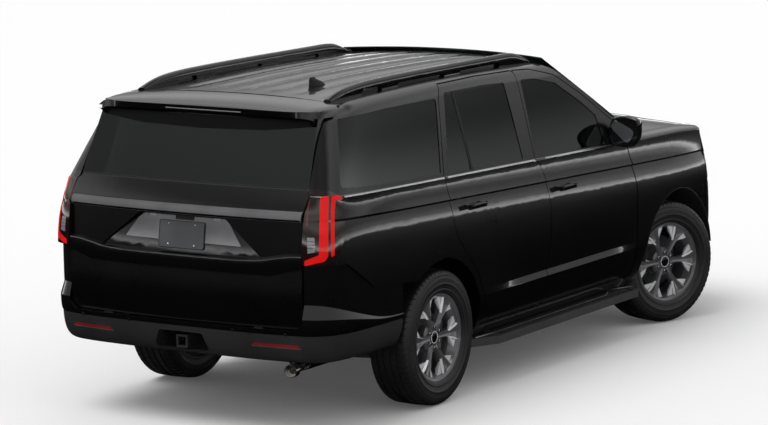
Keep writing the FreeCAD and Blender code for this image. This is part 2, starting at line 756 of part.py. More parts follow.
def fender():
    """Front wing with its rounded top and wheel opening."""
    stations = [s for s in SIDE_STATIONS if s[0] > 900.0]
    outer = []
    inner = []
    profiles = []
    for station in stations:
        y = station[0]
        belt = belt_z(y)
        crown = [(52, belt - 10), (54, belt + 12), (84, belt + 22), (148, belt + 26)]
        profiles.append(lower_profile(y) + [crown])
    for index in range(len(profiles[0])):
        rows_out = []
        rows_in = []
        for station, profile in zip(stations, profiles):
            row_out = [side_pole(station, i, z, 0) for i, z in profile[index]]
            row_in = [side_pole(station, i, z, 26.0) for i, z in profile[index]]
            if index == len(profiles[0]) - 1:
                row_in = [row_in[0], row_in[0] + Vector(-2, 0, 7), row_out[2] + Vector(-18, 0, -24), row_out[3] + Vector(0, 0, -24)]
            rows_out.append(row_out)
            rows_in.append(row_in)
        outer.append(rows_out)
        inner.append(rows_in)
    panel = wall(outer, inner, LOWER_DEGREES + [3])
    front = [(1104, 200, 0), (1104, 990, 300), (1078, 1112, 250), (1052, 1242, 60), (1052, 1500, 0),
             (NOSE_SPLIT_Y, 1500, 0), (NOSE_SPLIT_Y, 200, 0)]
    panel = panel.common(prism_x(front, 300, 1200))
    return panel.cut(wheel_arch(FRONT_AXLE_Y, ARCH_RADIUS + 22))


# Plan curve of each bumper, from its side to the centre: X, distance from the end of the car, turn
REAR_PLAN = [
    (1006.0, 815.0, 0.0),
    (1005.0, 640.0, 0.0),
    (1002.0, 460.0, 3.0),
    (990.0, 300.0, 9.0),
    (962.0, 180.0, 28.0),
    (905.0, 96.0, 50.0),
    (815.0, 48.0, 70.0),
    (640.0, 18.0, 82.0),
    (420.0, 6.0, 87.0),
    (210.0, 0.0, 90.0),
    (0.0, 0.0, 90.0),
]
FRONT_PLAN = [
    (969.0, 472.0, 8.0),
    (954.0, 400.0, 15.0),
    (925.0, 325.0, 27.0),
    (880.0, 255.0, 40.0),
    (812.0, 185.0, 52.0),
    (712.0, 122.0, 64.0),
    (568.0, 66.0, 75.0),
    (380.0, 24.0, 83.0),
    (190.0, 4.0, 88.0),
    (0.0, 0.0, 90.0),
]


def bumper_wall(plan, end_y, strips_at, degrees, depth, surface=0.0):
    """Wall that wraps round one end. strips_at gives the strips of a station from its Y. A pole is
    its inset and height at the side, then at the middle, and how far the wall's thickness turns
    from inwards to downwards at the side."""
    forward = 1.0 if end_y > 0 else -1.0
    stations = [(x, end_y - forward * d, t) for x, d, t in plan]
    stations += [(-x, y, t) for x, y, t in reversed(stations[:-1])]
    skins = []
    for extra in (surface, surface + depth):
        skin = []
        for index in range(len(degrees)):
            rows = []
            for x, y, turn in stations:
                angle = math.radians(turn)
                share = smooth_window(turn, 0.0, 1000.0, 62.0)
                row = []
                for inset_side, z_side, inset_end, z_end, roll in strips_at(y)[index]:
                    turned = roll * (1.0 - share)
                    inset = inset_side + (inset_end - inset_side) * share + extra * (1.0 - turned)
                    z = z_side + (z_end - z_side) * share - extra * turned
                    across = inset * math.cos(angle)
                    row.append(Vector(x - across if x >= 0 else x + across, y - forward * inset * math.sin(angle), z))
                rows.append(row)
            skin.append(rows)
        skins.append(skin)
    return wall(skins[0], skins[1], degrees)


REAR_END = -OVERALL_LENGTH / 2
FRONT_END = OVERALL_LENGTH / 2


def rear_cover_section(y):
    """Strips of the rear cover: its bulging foot, the ledge on it and the flush part above."""
    along = max(0.0, y - (REAR_END + 96.0))
    top = max(775.0 - 0.285 * along, 630.0)
    fade = max(0.0, 1.0 - along / 650.0)
    foot = max(top - 4.0 - 76.0 * fade * fade, 622.0)
    step = 3.0 + LEDGE_DEPTH * fade
    bulge = -7.0 * fade if y > REAR_END + 40.0 else 0.0
    return [
        [(4, 600, 4, 600, 0), (bulge, 612, bulge, 612, 0), (bulge, foot, bulge, foot, 0)],
        [(bulge, foot, bulge, foot, 0), (step, top, step, top, 0)],
        [(step, top, step, top, 0), (step - 2, 850, step - 2, 850, 0), (step - 2, 1040, step - 2, 1040, 0)],
    ]


def rear_lower_section(_):
    """Strips of the black lower cover."""
    return [[(70, 436, 70, 436, 0), (30, 452, 30, 452, 0), (10, 500, 10, 500, 0), (6, 599.7, 6, 599.7, 0)]]


def nose_section(_):
    """Strips of the front cover."""
    return [[
        (100, 330, 64, 330, 0), (46, 420, 20, 420, 0), (15, 520, 0, 520, 0), (6, 650, 2, 650, 0),
        (1, 800, 20, 800, 0), (0, 950, 58, 930, 0), (22, 1100, 98, 1030, 0), (48, 1196, 118, 1076, 0),
        (54, 1250, 134, 1100, 0.5), (84, 1262, 143, 1112, 1), (148, 1264, 150, 1118, 1),
    ]]


TAIL_RECESS = [
    (-806, 1300, 0), (-806, 668, 44), (-762, 628, 44), (762, 628, 44), (806, 668, 44), (806, 1300, 0),
]


def rear_bumper():
    """Painted bumper cover that wraps from one wheel arch to the other, with the tailgate's hinge blocks."""
    cover = bumper_wall(REAR_PLAN, REAR_END, rear_cover_section, [2, 1, 2], 55.0)
    cover = cover.common(prism_x(BUMPER_SIDE, -1200, 1200))
    cover = cover.cut(prism_y(TAIL_RECESS, -2800, -2000))
    blocks = [box(x - 30, x + 30, -2630, -2580, 602, TAILGATE_BOTTOM_Z - SEAT_GAP) for x in (-520, 520)]
    cover = cover.fuse(blocks)
    for side in (wheel_arch(REAR_AXLE_Y, ARCH_RADIUS), mirrored(wheel_arch(REAR_AXLE_Y, ARCH_RADIUS))):
        cover = cover.cut(side)
    return cover


def rear_valance():
    """Black lower bumper with an opening for the hitch."""
    cover = bumper_wall(REAR_PLAN, REAR_END, rear_lower_section, [3], 50.0)
    outline = [(-1500, 300, 0), (-1500, 640, 0), (-2700, 640, 0), (-2700, 440, 0), (-2300, 420, 0), (-1960, 352, 0)]
    cover = cover.common(prism_x(outline, -1200, 1200))
    for side in (wheel_arch(REAR_AXLE_Y, ARCH_RADIUS), mirrored(wheel_arch(REAR_AXLE_Y, ARCH_RADIUS))):
        cover = cover.cut(side)
    return cover.cut(prism_y([(-190, 460, 20), (190, 460, 20), (150, 566, 20), (-150, 566, 20)], -2800, -2400))


def front_bumper(lid):
    """Front cover with the grille and lamp openings, cut back below the bonnet."""
    cover = bumper_wall(FRONT_PLAN, FRONT_END, nose_section, [3], 46.0)
    cover = cover.common(box(-1200, 1200, NOSE_SPLIT_Y + COVER_GAP, 2800, 300, 1300))
    cover = cover.cut(prism_y(GRILLE_OPENING, 2200, 2800))
    cover = cover.cut(prism_y([(-470, 400, 20), (470, 400, 20), (540, 520, 30), (-540, 520, 30)], 2300, 2800))
    for sign in (1, -1):
        cover = cover.cut(prism_y([(sign * a, b, r) for a, b, r in HEADLAMP_OUTLINE], 2000, 2800))
        arch = wheel_arch(FRONT_AXLE_Y, ARCH_RADIUS + 22)
        cover = cover.cut(arch if sign > 0 else mirrored(arch))
    for drop in (0.0, SHUT_GAP, SHUT_GAP + 16.0):
        lowered = lid.copy()
        lowered.translate(Vector(0, 0, -drop))
        cover = cover.cut(lowered)
    return largest(cover)


GRILLE_OPENING = [
    (-560, 640, 60),
    (560, 640, 60),
    (660, 1060, 40),
    (-660, 1060, 40),
]
HEADLAMP_OUTLINE = [
    (690, 860, 20),
    (1100, 870, 20),
    (1100, 1075, 20),
    (668, 1075, 20),
]


def grille():
    """Grille frame with its rows of openings."""
    skin = bumper_wall(FRONT_PLAN, FRONT_END, nose_section, [3], 26.0, 8.0)
    frame = skin.common(prism_y(grown(GRILLE_OPENING, -SEAT_GAP), 2200, 2800))
    openings = []
    for row in range(5):
        z = 682 + row * 74
        half = 560 + 100 * (z - 640) / 420 - 60
        count = 8
        pitch = 2 * half / count
        for i in range(count):
            x = -half + pitch * (i + 0.5)
            reach = pitch * 0.42
            slot = [(x - reach, z, 8), (x + reach, z, 8), (x + reach, z + 46, 8), (x - reach, z + 46, 8)]
            openings.append(prism_y(slot, 2300, 2800))
    return frame.cut(Part.Compound(openings))


def headlamp():
    """Lamp unit that fills its opening in the right front corner."""
    skin = bumper_wall(FRONT_PLAN, FRONT_END, nose_section, [3], 42.0, 2.0)
    skin = skin.common(box(500, 1200, NOSE_SPLIT_Y + COVER_GAP, 2800, 300, 1300))
    return skin.common(prism_y(grown(HEADLAMP_OUTLINE, -SEAT_GAP), 2000, 2800))


def tail_lamp():
    """Lamp that wraps the right rear corner."""
    shell = side_slab(0, 0, 70, 40)
    return shell.common(lamp_cutter(-SEAT_GAP))


LAMP_SIDE = [
    (-2760, 952, 0),
    (-2560, 1000, 40),
    (-2478, 1050, 60),
    (-2412, 1164, 120),
    (-2386, 1290, 90),
    (-2384, 1376, 24),
    (-2470, 1420, 30),
    (-2760, 1420, 0),
]


def lamp_cutter(amount):
    """The lamp's outline in side view, grown by amount."""
    return prism_x(grown(LAMP_SIDE, amount), 700, 1200)


def running_board():
    """Step along the right sill, with tapered ends, on three brackets."""
    tread = prism_z([(905, -950, 20), (1012, -752, 30), (1012, 1108, 30), (905, 1190, 20), (850, 1190, 10), (850, -950, 10)], 262, 311)
    tread = tread.cut(prism_z([(930, -700, 10), (998, -680, 10), (998, 1060, 10), (930, 1080, 10)], 306, 330))
    brackets = [box(800, 870, y - 30, y + 30, 285, SILL_Z - SEAT_GAP) for y in (-650, 180, 980)]
    return tread.fuse(brackets).removeSplitter()


def roof_rail(roof):
    """Luggage rail with a foot at each end."""
    path_y = [-2080, -1990, -1860, -1500, -1000, -500, -150, 20, 110, 222]
    height = [12, 40, 66, 66, 62, 62, 66, 72, 56, 12]
    outer = []
    inner = []
    for y, lift in zip(path_y, height):
        x = 648 + 14 * (y + 2080) / 2300
        base = roof_top_z(y) - roof_crown(x)
        outer.append([Vector(x + 24, y, base + lift * 0.4), Vector(x + 24, y, base + lift), Vector(x, y, base + lift + 5), Vector(x - 24, y, base + lift), Vector(x - 24, y, base + lift * 0.4)])
        inner.append([Vector(x + 24, y, base - 12), Vector(x + 12, y, base - 12), Vector(x, y, base - 12), Vector(x - 12, y, base - 12), Vector(x - 24, y, base - 12)])
    rail = wall([outer], [inner], [3]).cut(roof)
    rail = max(rail.Solids, key=lambda solid: solid.Volume)
    gaps = [(-1790, -1480), (-1400, -760), (-680, -100)]
    for start, end in gaps:
        z = roof_top_z(-700) - roof_crown(655)
        rail = rail.cut(prism_x([(start, z - 80, 0), (start + 60, z + 13, 12), (end - 60, z + 13, 12), (end, z - 80, 0)], 560, 760))
    return rail


def windscreen():
    """Curved front glass from the cowl to the roof."""
    rows_out = []
    rows_in = []
    for share in (-0.02, 0.2, 0.5, 0.8, 1.05):
        half = 900 - 160 * share
        row_out = []
        row_in = []
        for s in (-1.0, -0.85, -0.6, -0.3, 0.0, 0.3, 0.6, 0.85, 1.0):
            bow = abs(s) ** 2.2
            y = 1400 - 960 * share - bow * (200 - 105 * share)
            z = 1322 + 548 * (share + 0.02) ** 0.96 - 18 * bow * share
            row_out.append(Vector(half * s, y, z))
            row_in.append(Vector(half * s, y - 3, z - 6))
        rows_out.append(row_out)
        rows_in.append(row_in)
    return wall([rows_out], [rows_in], [3])


def cowl(sides, wing):
    """Firewall with the cowl panel, the inner wing panels and the bonnet hinges' feet."""
    firewall = box(-884, 884, 1090, 1115, 480, 1250)
    top = box(-850, 850, 1100, 1440, 1236, 1248)
    structure = firewall.fuse(top)
    apron = prism_x([(1090, 700, 0), (1090, 1296, 0), (NOSE_SPLIT_Y - 6, 1252, 0), (NOSE_SPLIT_Y - 6, 700, 0)], 868, 882)
    apron = apron.cut(wheel_arch(FRONT_AXLE_Y, ARCH_RADIUS + 34))
    lowered = wing.copy()
    lowered.translate(Vector(0, 0, -SEAT_GAP))
    apron = max(apron.cut(lowered).Solids, key=lambda solid: solid.Volume)
    structure = structure.fuse([apron, mirrored(apron)])
    structure = structure.cut(sides[0]).cut(sides[1])
    return max(structure.removeSplitter().Solids, key=lambda solid: solid.Volume)


FLOOR_Z = 506.0
LOAD_FLOOR_Z = 714.0
FLOOR_SHEET = 24.0
FLOOR_STEP_Y = -930.0
FLOOR_HALF_WIDTH = BODY_HALF_WIDTH - DOOR_THICKNESS - DOOR_SEAL_GAP - 36.0


def floor_pan(sides):
    """Cabin floor, raised over the rear axle, with the rear wheel houses."""
    outline = [
        (1089.7, FLOOR_Z - FLOOR_SHEET, 0), (1089.7, FLOOR_Z, 0), (FLOOR_STEP_Y, FLOOR_Z, 0),
        (FLOOR_STEP_Y - 60, LOAD_FLOOR_Z, 0), (-2470, LOAD_FLOOR_Z, 0), (-2470, LOAD_FLOOR_Z - FLOOR_SHEET, 0),
        (FLOOR_STEP_Y - 85, LOAD_FLOOR_Z - FLOOR_SHEET, 0), (FLOOR_STEP_Y - 25, FLOOR_Z - FLOOR_SHEET, 0),
    ]
    floor = prism_x(outline, -FLOOR_HALF_WIDTH, FLOOR_HALF_WIDTH)
    house = Part.makeCylinder(ARCH_RADIUS + 26, FLOOR_HALF_WIDTH - 640, Vector(640, REAR_AXLE_Y, WHEEL_CENTRE_Z), Vector(1, 0, 0))
    hollow = Part.makeCylinder(ARCH_RADIUS + 14, 400, Vector(652, REAR_AXLE_Y, WHEEL_CENTRE_Z), Vector(1, 0, 0))
    low = LOAD_FLOOR_Z - FLOOR_SHEET
    shell = house.common(box(600, 900, -2100, -850, low, 1000).fuse(box(600, 900, -1012, -850, FLOOR_Z - FLOOR_SHEET, 1000)))
    result = floor.fuse([shell, mirrored(shell)])
    result = result.cut(Part.Compound([hollow, mirrored(hollow)]))
    result = result.cut(sides[0]).cut(sides[1])
    return max(result.removeSplitter().Solids, key=lambda solid: solid.Volume)


def wheel_liner(wing, bumper):
    """Arched liner over the right front wheel, hung from the inner wing."""
    outer = ARCH_RADIUS + 18.0
    centre = Vector(560, FRONT_AXLE_Y, WHEEL_CENTRE_Z)
    across = Vector(1, 0, 0)
    shell = Part.makeCylinder(outer, 440, centre, across)
    shell = shell.cut(Part.makeCylinder(outer - LINER_SHEET, 440, centre, across))
    flange = Part.makeCylinder(ARCH_RADIUS + 34.0 - SEAT_GAP, 14, Vector(868, FRONT_AXLE_Y, WHEEL_CENTRE_Z), across)
    flange = flange.cut(Part.makeCylinder(outer - 1, 14, Vector(868, FRONT_AXLE_Y, WHEEL_CENTRE_Z), across))
    shell = shell.common(box(500, 1100, 1000, 2400, 470, 1000))
    flange = flange.common(box(500, 1100, 1000, NOSE_SPLIT_Y - 8, 720, 1000))
    liner = shell.fuse(flange)
    for other in (wing, bumper):
        liner = liner.cut(other)
    return largest(liner.removeSplitter())


RAIL_X = 430.0
RAIL_HALF_WIDTH = 40.0


def ladder_frame():
    """Two rails that rise over the axles, with cross members, body mounts and the tow hitch."""
    outline = [
        (2430, 440, 20), (2430, 560, 20), (1480, 560, 60), (1200, 450, 60), (-990, 450, 60), (-1170, 640, 60),
        (-2500, 640, 10), (-2500, 520, 10), (-1230, 520, 60), (-1040, 330, 60), (1250, 330, 60), (1530, 440, 60),
    ]
    rails = [prism_x(outline, s * RAIL_X - RAIL_HALF_WIDTH, s * RAIL_X + RAIL_HALF_WIDTH) for s in (-1, 1)]
    members = []
    for y, z in ((2330, 500), (600, 390), (-200, 390), (-800, 390), (-1900, 580), (-2450, 580)):
        members.append(box(-RAIL_X, RAIL_X, y - 40, y + 40, z - 40, z + 40))
    mounts = []
    for y, base, top in ((1000, 440, FLOOR_Z - FLOOR_SHEET), (0, 440, FLOOR_Z - FLOOR_SHEET), (-1500, 630, LOAD_FLOOR_Z - FLOOR_SHEET), (-2350, 630, LOAD_FLOOR_Z - FLOOR_SHEET)):
        for s in (-1, 1):
            mounts.append(cylinder(34, Vector(s * RAIL_X, y, base), Vector(s * RAIL_X, y, top - SEAT_GAP)))
    tube = box(-38, 38, -2640, -2300, 468, 544)
    bore = box(-25.4, 25.4, -2700, -2340, 480.6, 531.4)
    plates = [box(x - 6, x + 6, -2480, -2420, 490, 560) for x in (-34, 34)]
    pin = cylinder(8, Vector(-60, -2590, 506), Vector(60, -2590, 506))
    frame = rails[0].fuse([rails[1]] + members + mounts + plates + [tube])
    return frame.cut(bore).cut(pin).removeSplitter()


def suspension():
    """Front and rear subframes with their arms, and the rear axle drive."""
    pieces = []
    for axle_y, rail_bottom in ((FRONT_AXLE_Y, 440.0), (REAR_AXLE_Y, 520.0)):
        beam = box(-RAIL_X - 35, RAIL_X + 35, axle_y - 50, axle_y + 50, 250, 290 - SEAT_GAP)
        fused = []
        for s in (1, -1):
            x0 = s * (RAIL_X - 35)
            x1 = s * (RAIL_X + 35)
            fused.append(box(min(x0, x1), max(x0, x1), axle_y - 45, axle_y + 45, 270, rail_bottom - SEAT_GAP))
            arm = [(s * 400, axle_y - 150, 20), (s * 400, axle_y + 150, 20), (s * (KINGPIN_X + 34), axle_y + 34, 34), (s * (KINGPIN_X + 34), axle_y - 34, 34)]
            fused.append(prism_z(arm, 262, 290 - SEAT_GAP))
            upper = [(s * 440, axle_y - 70, 10), (s * 440, axle_y + 70, 10), (s * (KINGPIN_X + 30), axle_y + 28, 28), (s * (KINGPIN_X + 30), axle_y - 28, 28)]
            fused.append(prism_z(upper, 540 + SEAT_GAP, 562))
            x2 = s * (RAIL_X + RAIL_HALF_WIDTH + SEAT_GAP)
            x3 = s * (RAIL_X + RAIL_HALF_WIDTH + 30)
            fused.append(box(min(x2, x3), max(x2, x3), axle_y - 40, axle_y + 40, 280, 562))
        piece = beam.fuse(fused)
        rail = box(-RAIL_X - RAIL_HALF_WIDTH - SEAT_GAP, RAIL_X + RAIL_HALF_WIDTH + SEAT_GAP, axle_y - 200, axle_y + 200, rail_bottom - SEAT_GAP, 700)
        piece = piece.cut(rail)
        pieces.append(piece)
    drive = cylinder(105, Vector(-150, REAR_AXLE_Y, WHEEL_CENTRE_Z), Vector(150, REAR_AXLE_Y, WHEEL_CENTRE_Z))
    shafts = cylinder(20, Vector(-(KINGPIN_X - 30 - SEAT_GAP), REAR_AXLE_Y, WHEEL_CENTRE_Z), Vector(KINGPIN_X - 30 - SEAT_GAP, REAR_AXLE_Y, WHEEL_CENTRE_Z))
    post = box(-60, 60, REAR_AXLE_Y - 40, REAR_AXLE_Y + 40, 280, 330)
    pieces[1] = pieces[1].fuse([drive, shafts, post])
    return [piece.removeSplitter() for piece in pieces]


def exhaust():
    """Silencer and tail pipe with its tip on the right."""
    can = cylinder(85, Vector(600, -2330, 420), Vector(600, -1960, 420))
    pipe = cylinder(30, Vector(640, -2320, 405), Vector(735, -2600, 400))
    tip = cylinder(38, Vector(731, -2590, 400), Vector(737, -2640, 400)).cut(cylinder(34, Vector(733, -2600, 400), Vector(738, -2650, 400)))
    hanger = box(560, 590, -2200, -2160, 490, 560)
    hook = box(RAIL_X + RAIL_HALF_WIDTH + SEAT_GAP, 590, -2200, -2160, 540, 560)
    return can.fuse([pipe, tip, hanger, hook]).removeSplitter()


def roof_antenna(roof):
    """Fin aerial, right of the centre line."""
    wires = []
    for z, front, back, half in ((0, 75, -75, 26), (20, 50, -74, 20), (42, -5, -72, 9), (52, -30, -70, 3)):
        points = [Vector(300, -1650 + front, 1860 + z + 30), Vector(300 + half, -1650 + back * 0.3, 1890 + z), Vector(300, -1650 + back, 1890 + z), Vector(300 - half, -1650 + back * 0.3, 1890 + z)]
        curve = Part.BSplineCurve()
        curve.interpolate(points, PeriodicFlag=True)
        wires.append(Part.Wire(curve.toShape()))
    fin = Part.makeLoft(wires, True, False)
    foot = Part.Face(wires[0]).extrude(Vector(0, 0, -30))
    return max(fin.fuse(foot).cut(roof).Solids, key=lambda solid: solid.Volume)


def tyre():
    """Tyre on the X axis, its outer face at +X. Its closed air space and its tread are left out."""
    half = TYRE_WIDTH / 2
    bead = RIM_FLANGE_RADIUS - RIM_FLANGE_HEIGHT + SEAT_GAP
    side = RIM_WIDTH / 2 - RIM_LIP - SEAT_GAP
    right = [(side, bead), (side, RIM_FLANGE_RADIUS + 1), (half, 334), (half - 17, TYRE_RADIUS)]
    outline = [Vector(x, 0, z) for x, z in right] + [Vector(-x, 0, z) for x, z in reversed(right)]
    profile = Part.Face(Part.makePolygon(outline + outline[:1]))
    return profile.revolve(Vector(0, 0, 0), Vector(1, 0, 0), 360)


# Spoke sections: radius, half width, half width of the crest, then X of back, shoulder, crest and groove
SPOKE_SECTIONS = [
    (48, 21, 13, 44, 76, 86, 84),
    (105, 17, 10, 52, 82, 95, 89),
    (165, 23, 15, 60, 87, 101, 93),
    (214, 43, 32, 66, 90, 104, 97),
    (252, 64, 54, 70, 92, 106, 104),
]


def wheel_turned(x, radial, across, angle):
    """Point on the wheel at an angle, radial from the axle and across it."""
    return Vector(
        x,
        radial * math.cos(angle) - across * math.sin(angle),
        radial * math.sin(angle) + across * math.cos(angle),
    )


def spoke(angle):
    """Faceted spoke with a grooved crest, narrow at the hub and wide at the rim."""
    wires = []
    for radial, half, crest, back, shoulder, top, groove in SPOKE_SECTIONS:
        section = [
            (-half, back), (-half, shoulder), (-crest, top), (0, groove),
            (crest, top), (half, shoulder), (half, back),
        ]
        ring = [wheel_turned(x, radial, across, angle) for across, x in section]
        wires.append(Part.makePolygon(ring + ring[:1]))
    return Part.makeLoft(wires, True, True)


def wheel():
    """Six-spoke road wheel on the X axis, with its hub, nuts, cap and brake disc."""
    r = RIM_FLANGE_RADIUS
    half = RIM_WIDTH / 2
    seat = r - RIM_FLANGE_HEIGHT
    barrel = [
        (-half, r), (-half + 8, r), (-half + 8, seat), (-half + 40, seat - 4), (-half + 52, seat - 24),
        (half - 60, seat - 24), (half - 44, seat - 4), (half - 8, seat), (half - 8, r), (half, r),
        (half, r - 12), (half - 10, r - 26), (half - 60, seat - 34), (-half + 52, seat - 34), (-half, r - 12),
    ]
    hub = [(-40, 0), (86, 0), (86, 36), (78, 42), (78, 82), (66, 94), (44, 94), (40, 72), (-40, 72)]
    disc = [(-30, 0), (0, 0), (0, BRAKE_DISC_RADIUS), (-30, BRAKE_DISC_RADIUS)]
    turned = []
    for outline in (barrel, hub, disc):
        points = [Vector(x, 0, z) for x, z in outline]
        profile = Part.Face(Part.makePolygon(points + points[:1]))
        turned.append(profile.revolve(Vector(0, 0, 0), Vector(1, 0, 0), 360))
    added = turned[1:]
    reach = cylinder(r - 23, Vector(-half, 0, 0), Vector(half, 0, 0))
    for i in range(WHEEL_SPOKES):
        angle = 2 * math.pi * i / WHEEL_SPOKES
        added.append(spoke(angle).common(reach))
        middle = angle + math.pi / WHEEL_SPOKES
        corners = []
        for k in range(6):
            turn = k * math.pi / 3
            corners.append(wheel_turned(70, 62 + 12 * math.cos(turn), 12 * math.sin(turn), middle))
        nut = Part.Face(Part.makePolygon(corners + corners[:1])).extrude(Vector(24, 0, 0))
        added.append(nut)
    return turned[0].fuse(added).removeSplitter()


def placed_wheel(shape, side, axle_y, steer_deg):
    """A wheel or tyre moved to its corner. side is 1 for the right and -1 for the left."""
    piece = shape if side > 0 else mirrored(shape)
    piece = piece.copy()
    piece.translate(Vector(side * WHEEL_TRACK_HALF, axle_y, WHEEL_CENTRE_Z))
    if steer_deg:
        piece.rotate(Vector(side * KINGPIN_X, axle_y, 0), Vector(0, 0, 1), -steer_deg)
    return piece


def caliper(behind):
    """Brake caliper over the edge of the disc, in the wheel's own place, with its bracket."""
    inner = -30.0 - BRAKE_DISC_GAP
    outer = BRAKE_DISC_GAP
    rim = BRAKE_DISC_RADIUS + BRAKE_DISC_GAP
    outline = [
        (inner - 28, 118), (inner, 118), (inner, rim), (outer, rim),
        (outer, 126), (outer + 22, 132), (outer + 20, 200), (inner - 28, 200),
    ]
    points = [Vector(x, 0, z) for x, z in outline]
    body = Part.Face(Part.makePolygon(points + points[:1])).revolve(Vector(0, 0, 0), Vector(1, 0, 0), 64)
    body.rotate(Vector(0, 0, 0), Vector(1, 0, 0), 58 if behind else -122)
    reach = -130 if behind else 130
    arm = box(KINGPIN_X - WHEEL_TRACK_HALF, inner - 4, min(0, reach), max(0, reach), -24, 24)
    return body.fuse(arm)


def knuckle(side, axle_y, steer_deg):
    """Upright with its stub axle and the brake caliper."""
    post = Part.makeCylinder(30, 250, Vector(KINGPIN_X, axle_y, 290), Vector(0, 0, 1))
    stub = cylinder(28, Vector(KINGPIN_X, axle_y, WHEEL_CENTRE_Z), Vector(WHEEL_TRACK_HALF - 40.5, axle_y, WHEEL_CENTRE_Z))
    brake = caliper(axle_y > 0)
    brake.translate(Vector(WHEEL_TRACK_HALF, axle_y, WHEEL_CENTRE_Z))
    piece = post.fuse([stub, brake]).removeSplitter()
    if side < 0:
        piece = mirrored(piece)
    if steer_deg:
        piece.rotate(Vector(side * KINGPIN_X, axle_y, 0), Vector(0, 0, 1), -steer_deg)
    return piece


def soft_ring(centre_x, y, centre_z, half_x, half_z, count=12):
    """Closed curve between an ellipse and a rectangle, across Y."""
    points = []
    for k in range(count):
        angle = 2 * math.pi * (k + 0.5) / count
        across = math.copysign(abs(math.cos(angle)) ** 0.55, math.cos(angle))
        up = math.copysign(abs(math.sin(angle)) ** 0.55, math.sin(angle))
        points.append(Vector(centre_x + half_x * across + 8.0 * up, y, centre_z + half_z * up))
    curve = Part.BSplineCurve()
    curve.interpolate(points, PeriodicFlag=True)
    return Part.Wire(curve.toShape())


def mirror():
    """Door mirror: a hollow-faced head on its arm."""
    head_rows = ((832, 98, 88), (842, 106, 95), (885, 106, 94), (930, 94, 82), (965, 66, 58), (984, 30, 26))
    head = Part.makeLoft([soft_ring(1034 - (y - 880) * 0.12, y, 1374, a, b) for y, a, b in head_rows], True, False)
    pocket_rows = ((820, 92, 82), (844, 90, 80))
    pocket = Part.makeLoft([soft_ring(1038, y, 1374, a, b) for y, a, b in pocket_rows], True, False)
    arm_outline = [(925, 1312, 0), (985, 1318, 20), (1020, 1296, 30), (1020, 1340, 0), (925, 1356, 0)]
    arm = prism_y(arm_outline, 872, 938)
    return head.cut(pocket).fuse(arm).removeSplitter()


def seat(x, y, width, back_height, floor_z, cushion_height):
    """Seat with a cushion, a back and a head rest."""
    z = floor_z + cushion_height
    cushion = prism_x([(y - 260, z, 30), (y + 260, z + 30, 60), (y + 260, z + 120, 50), (y - 260, z + 90, 30)], x - width / 2, x + width / 2)
    top = z + 40 + back_height
    back = prism_x([(y - 270, z + 40, 20), (y - 160, z + 40, 20), (y - 300, top, 50), (y - 400, top, 40)], x - width / 2, x + width / 2)
    heads = []
    count = 1 if width < 700 else 2
    for i in range(count):
        cx = x if count == 1 else x + (i - 0.5) * width * 0.56
        heads.append(prism_x([(y - 400, top + 15, 20), (y - 310, top + 15, 20), (y - 330, top + 170, 30), (y - 420, top + 170, 30)], cx - 130, cx + 130))
        heads += [cylinder(8, Vector(cx + s * 60, y - 350, top - 20), Vector(cx + s * 60, y - 360, top + 40)) for s in (-1, 1)]
    base = box(x - width * 0.35, x + width * 0.35, y - 200, y + 200, floor_z + SEAT_GAP, z + 20)
    return cushion.fuse([back, base] + heads).removeSplitter()


def dashboard():
    """Dashboard, and the steering wheel on its column."""
    panel = prism_x([(840, 980, 60), (760, 1180, 60), (900, 1262, 40), (1089.7, 1255, 0), (1089.7, 820, 0), (1000, 780, 0)], -800, 800)
    column = cylinder(28, Vector(-400, 860, 1090), Vector(-400, 640, 1160))
    ring = Part.makeTorus(185, 15, Vector(-400, 640, 1160), Vector(0, -1, 0.32))
    bar = box(-570, -230, 630, 650, 1140, 1180)
    return panel.fuse([column, ring, bar]).removeSplitter()


def largest(shape):
    """The biggest solid of a shape."""
    return max(shape.Solids, key=lambda solid: solid.Volume)


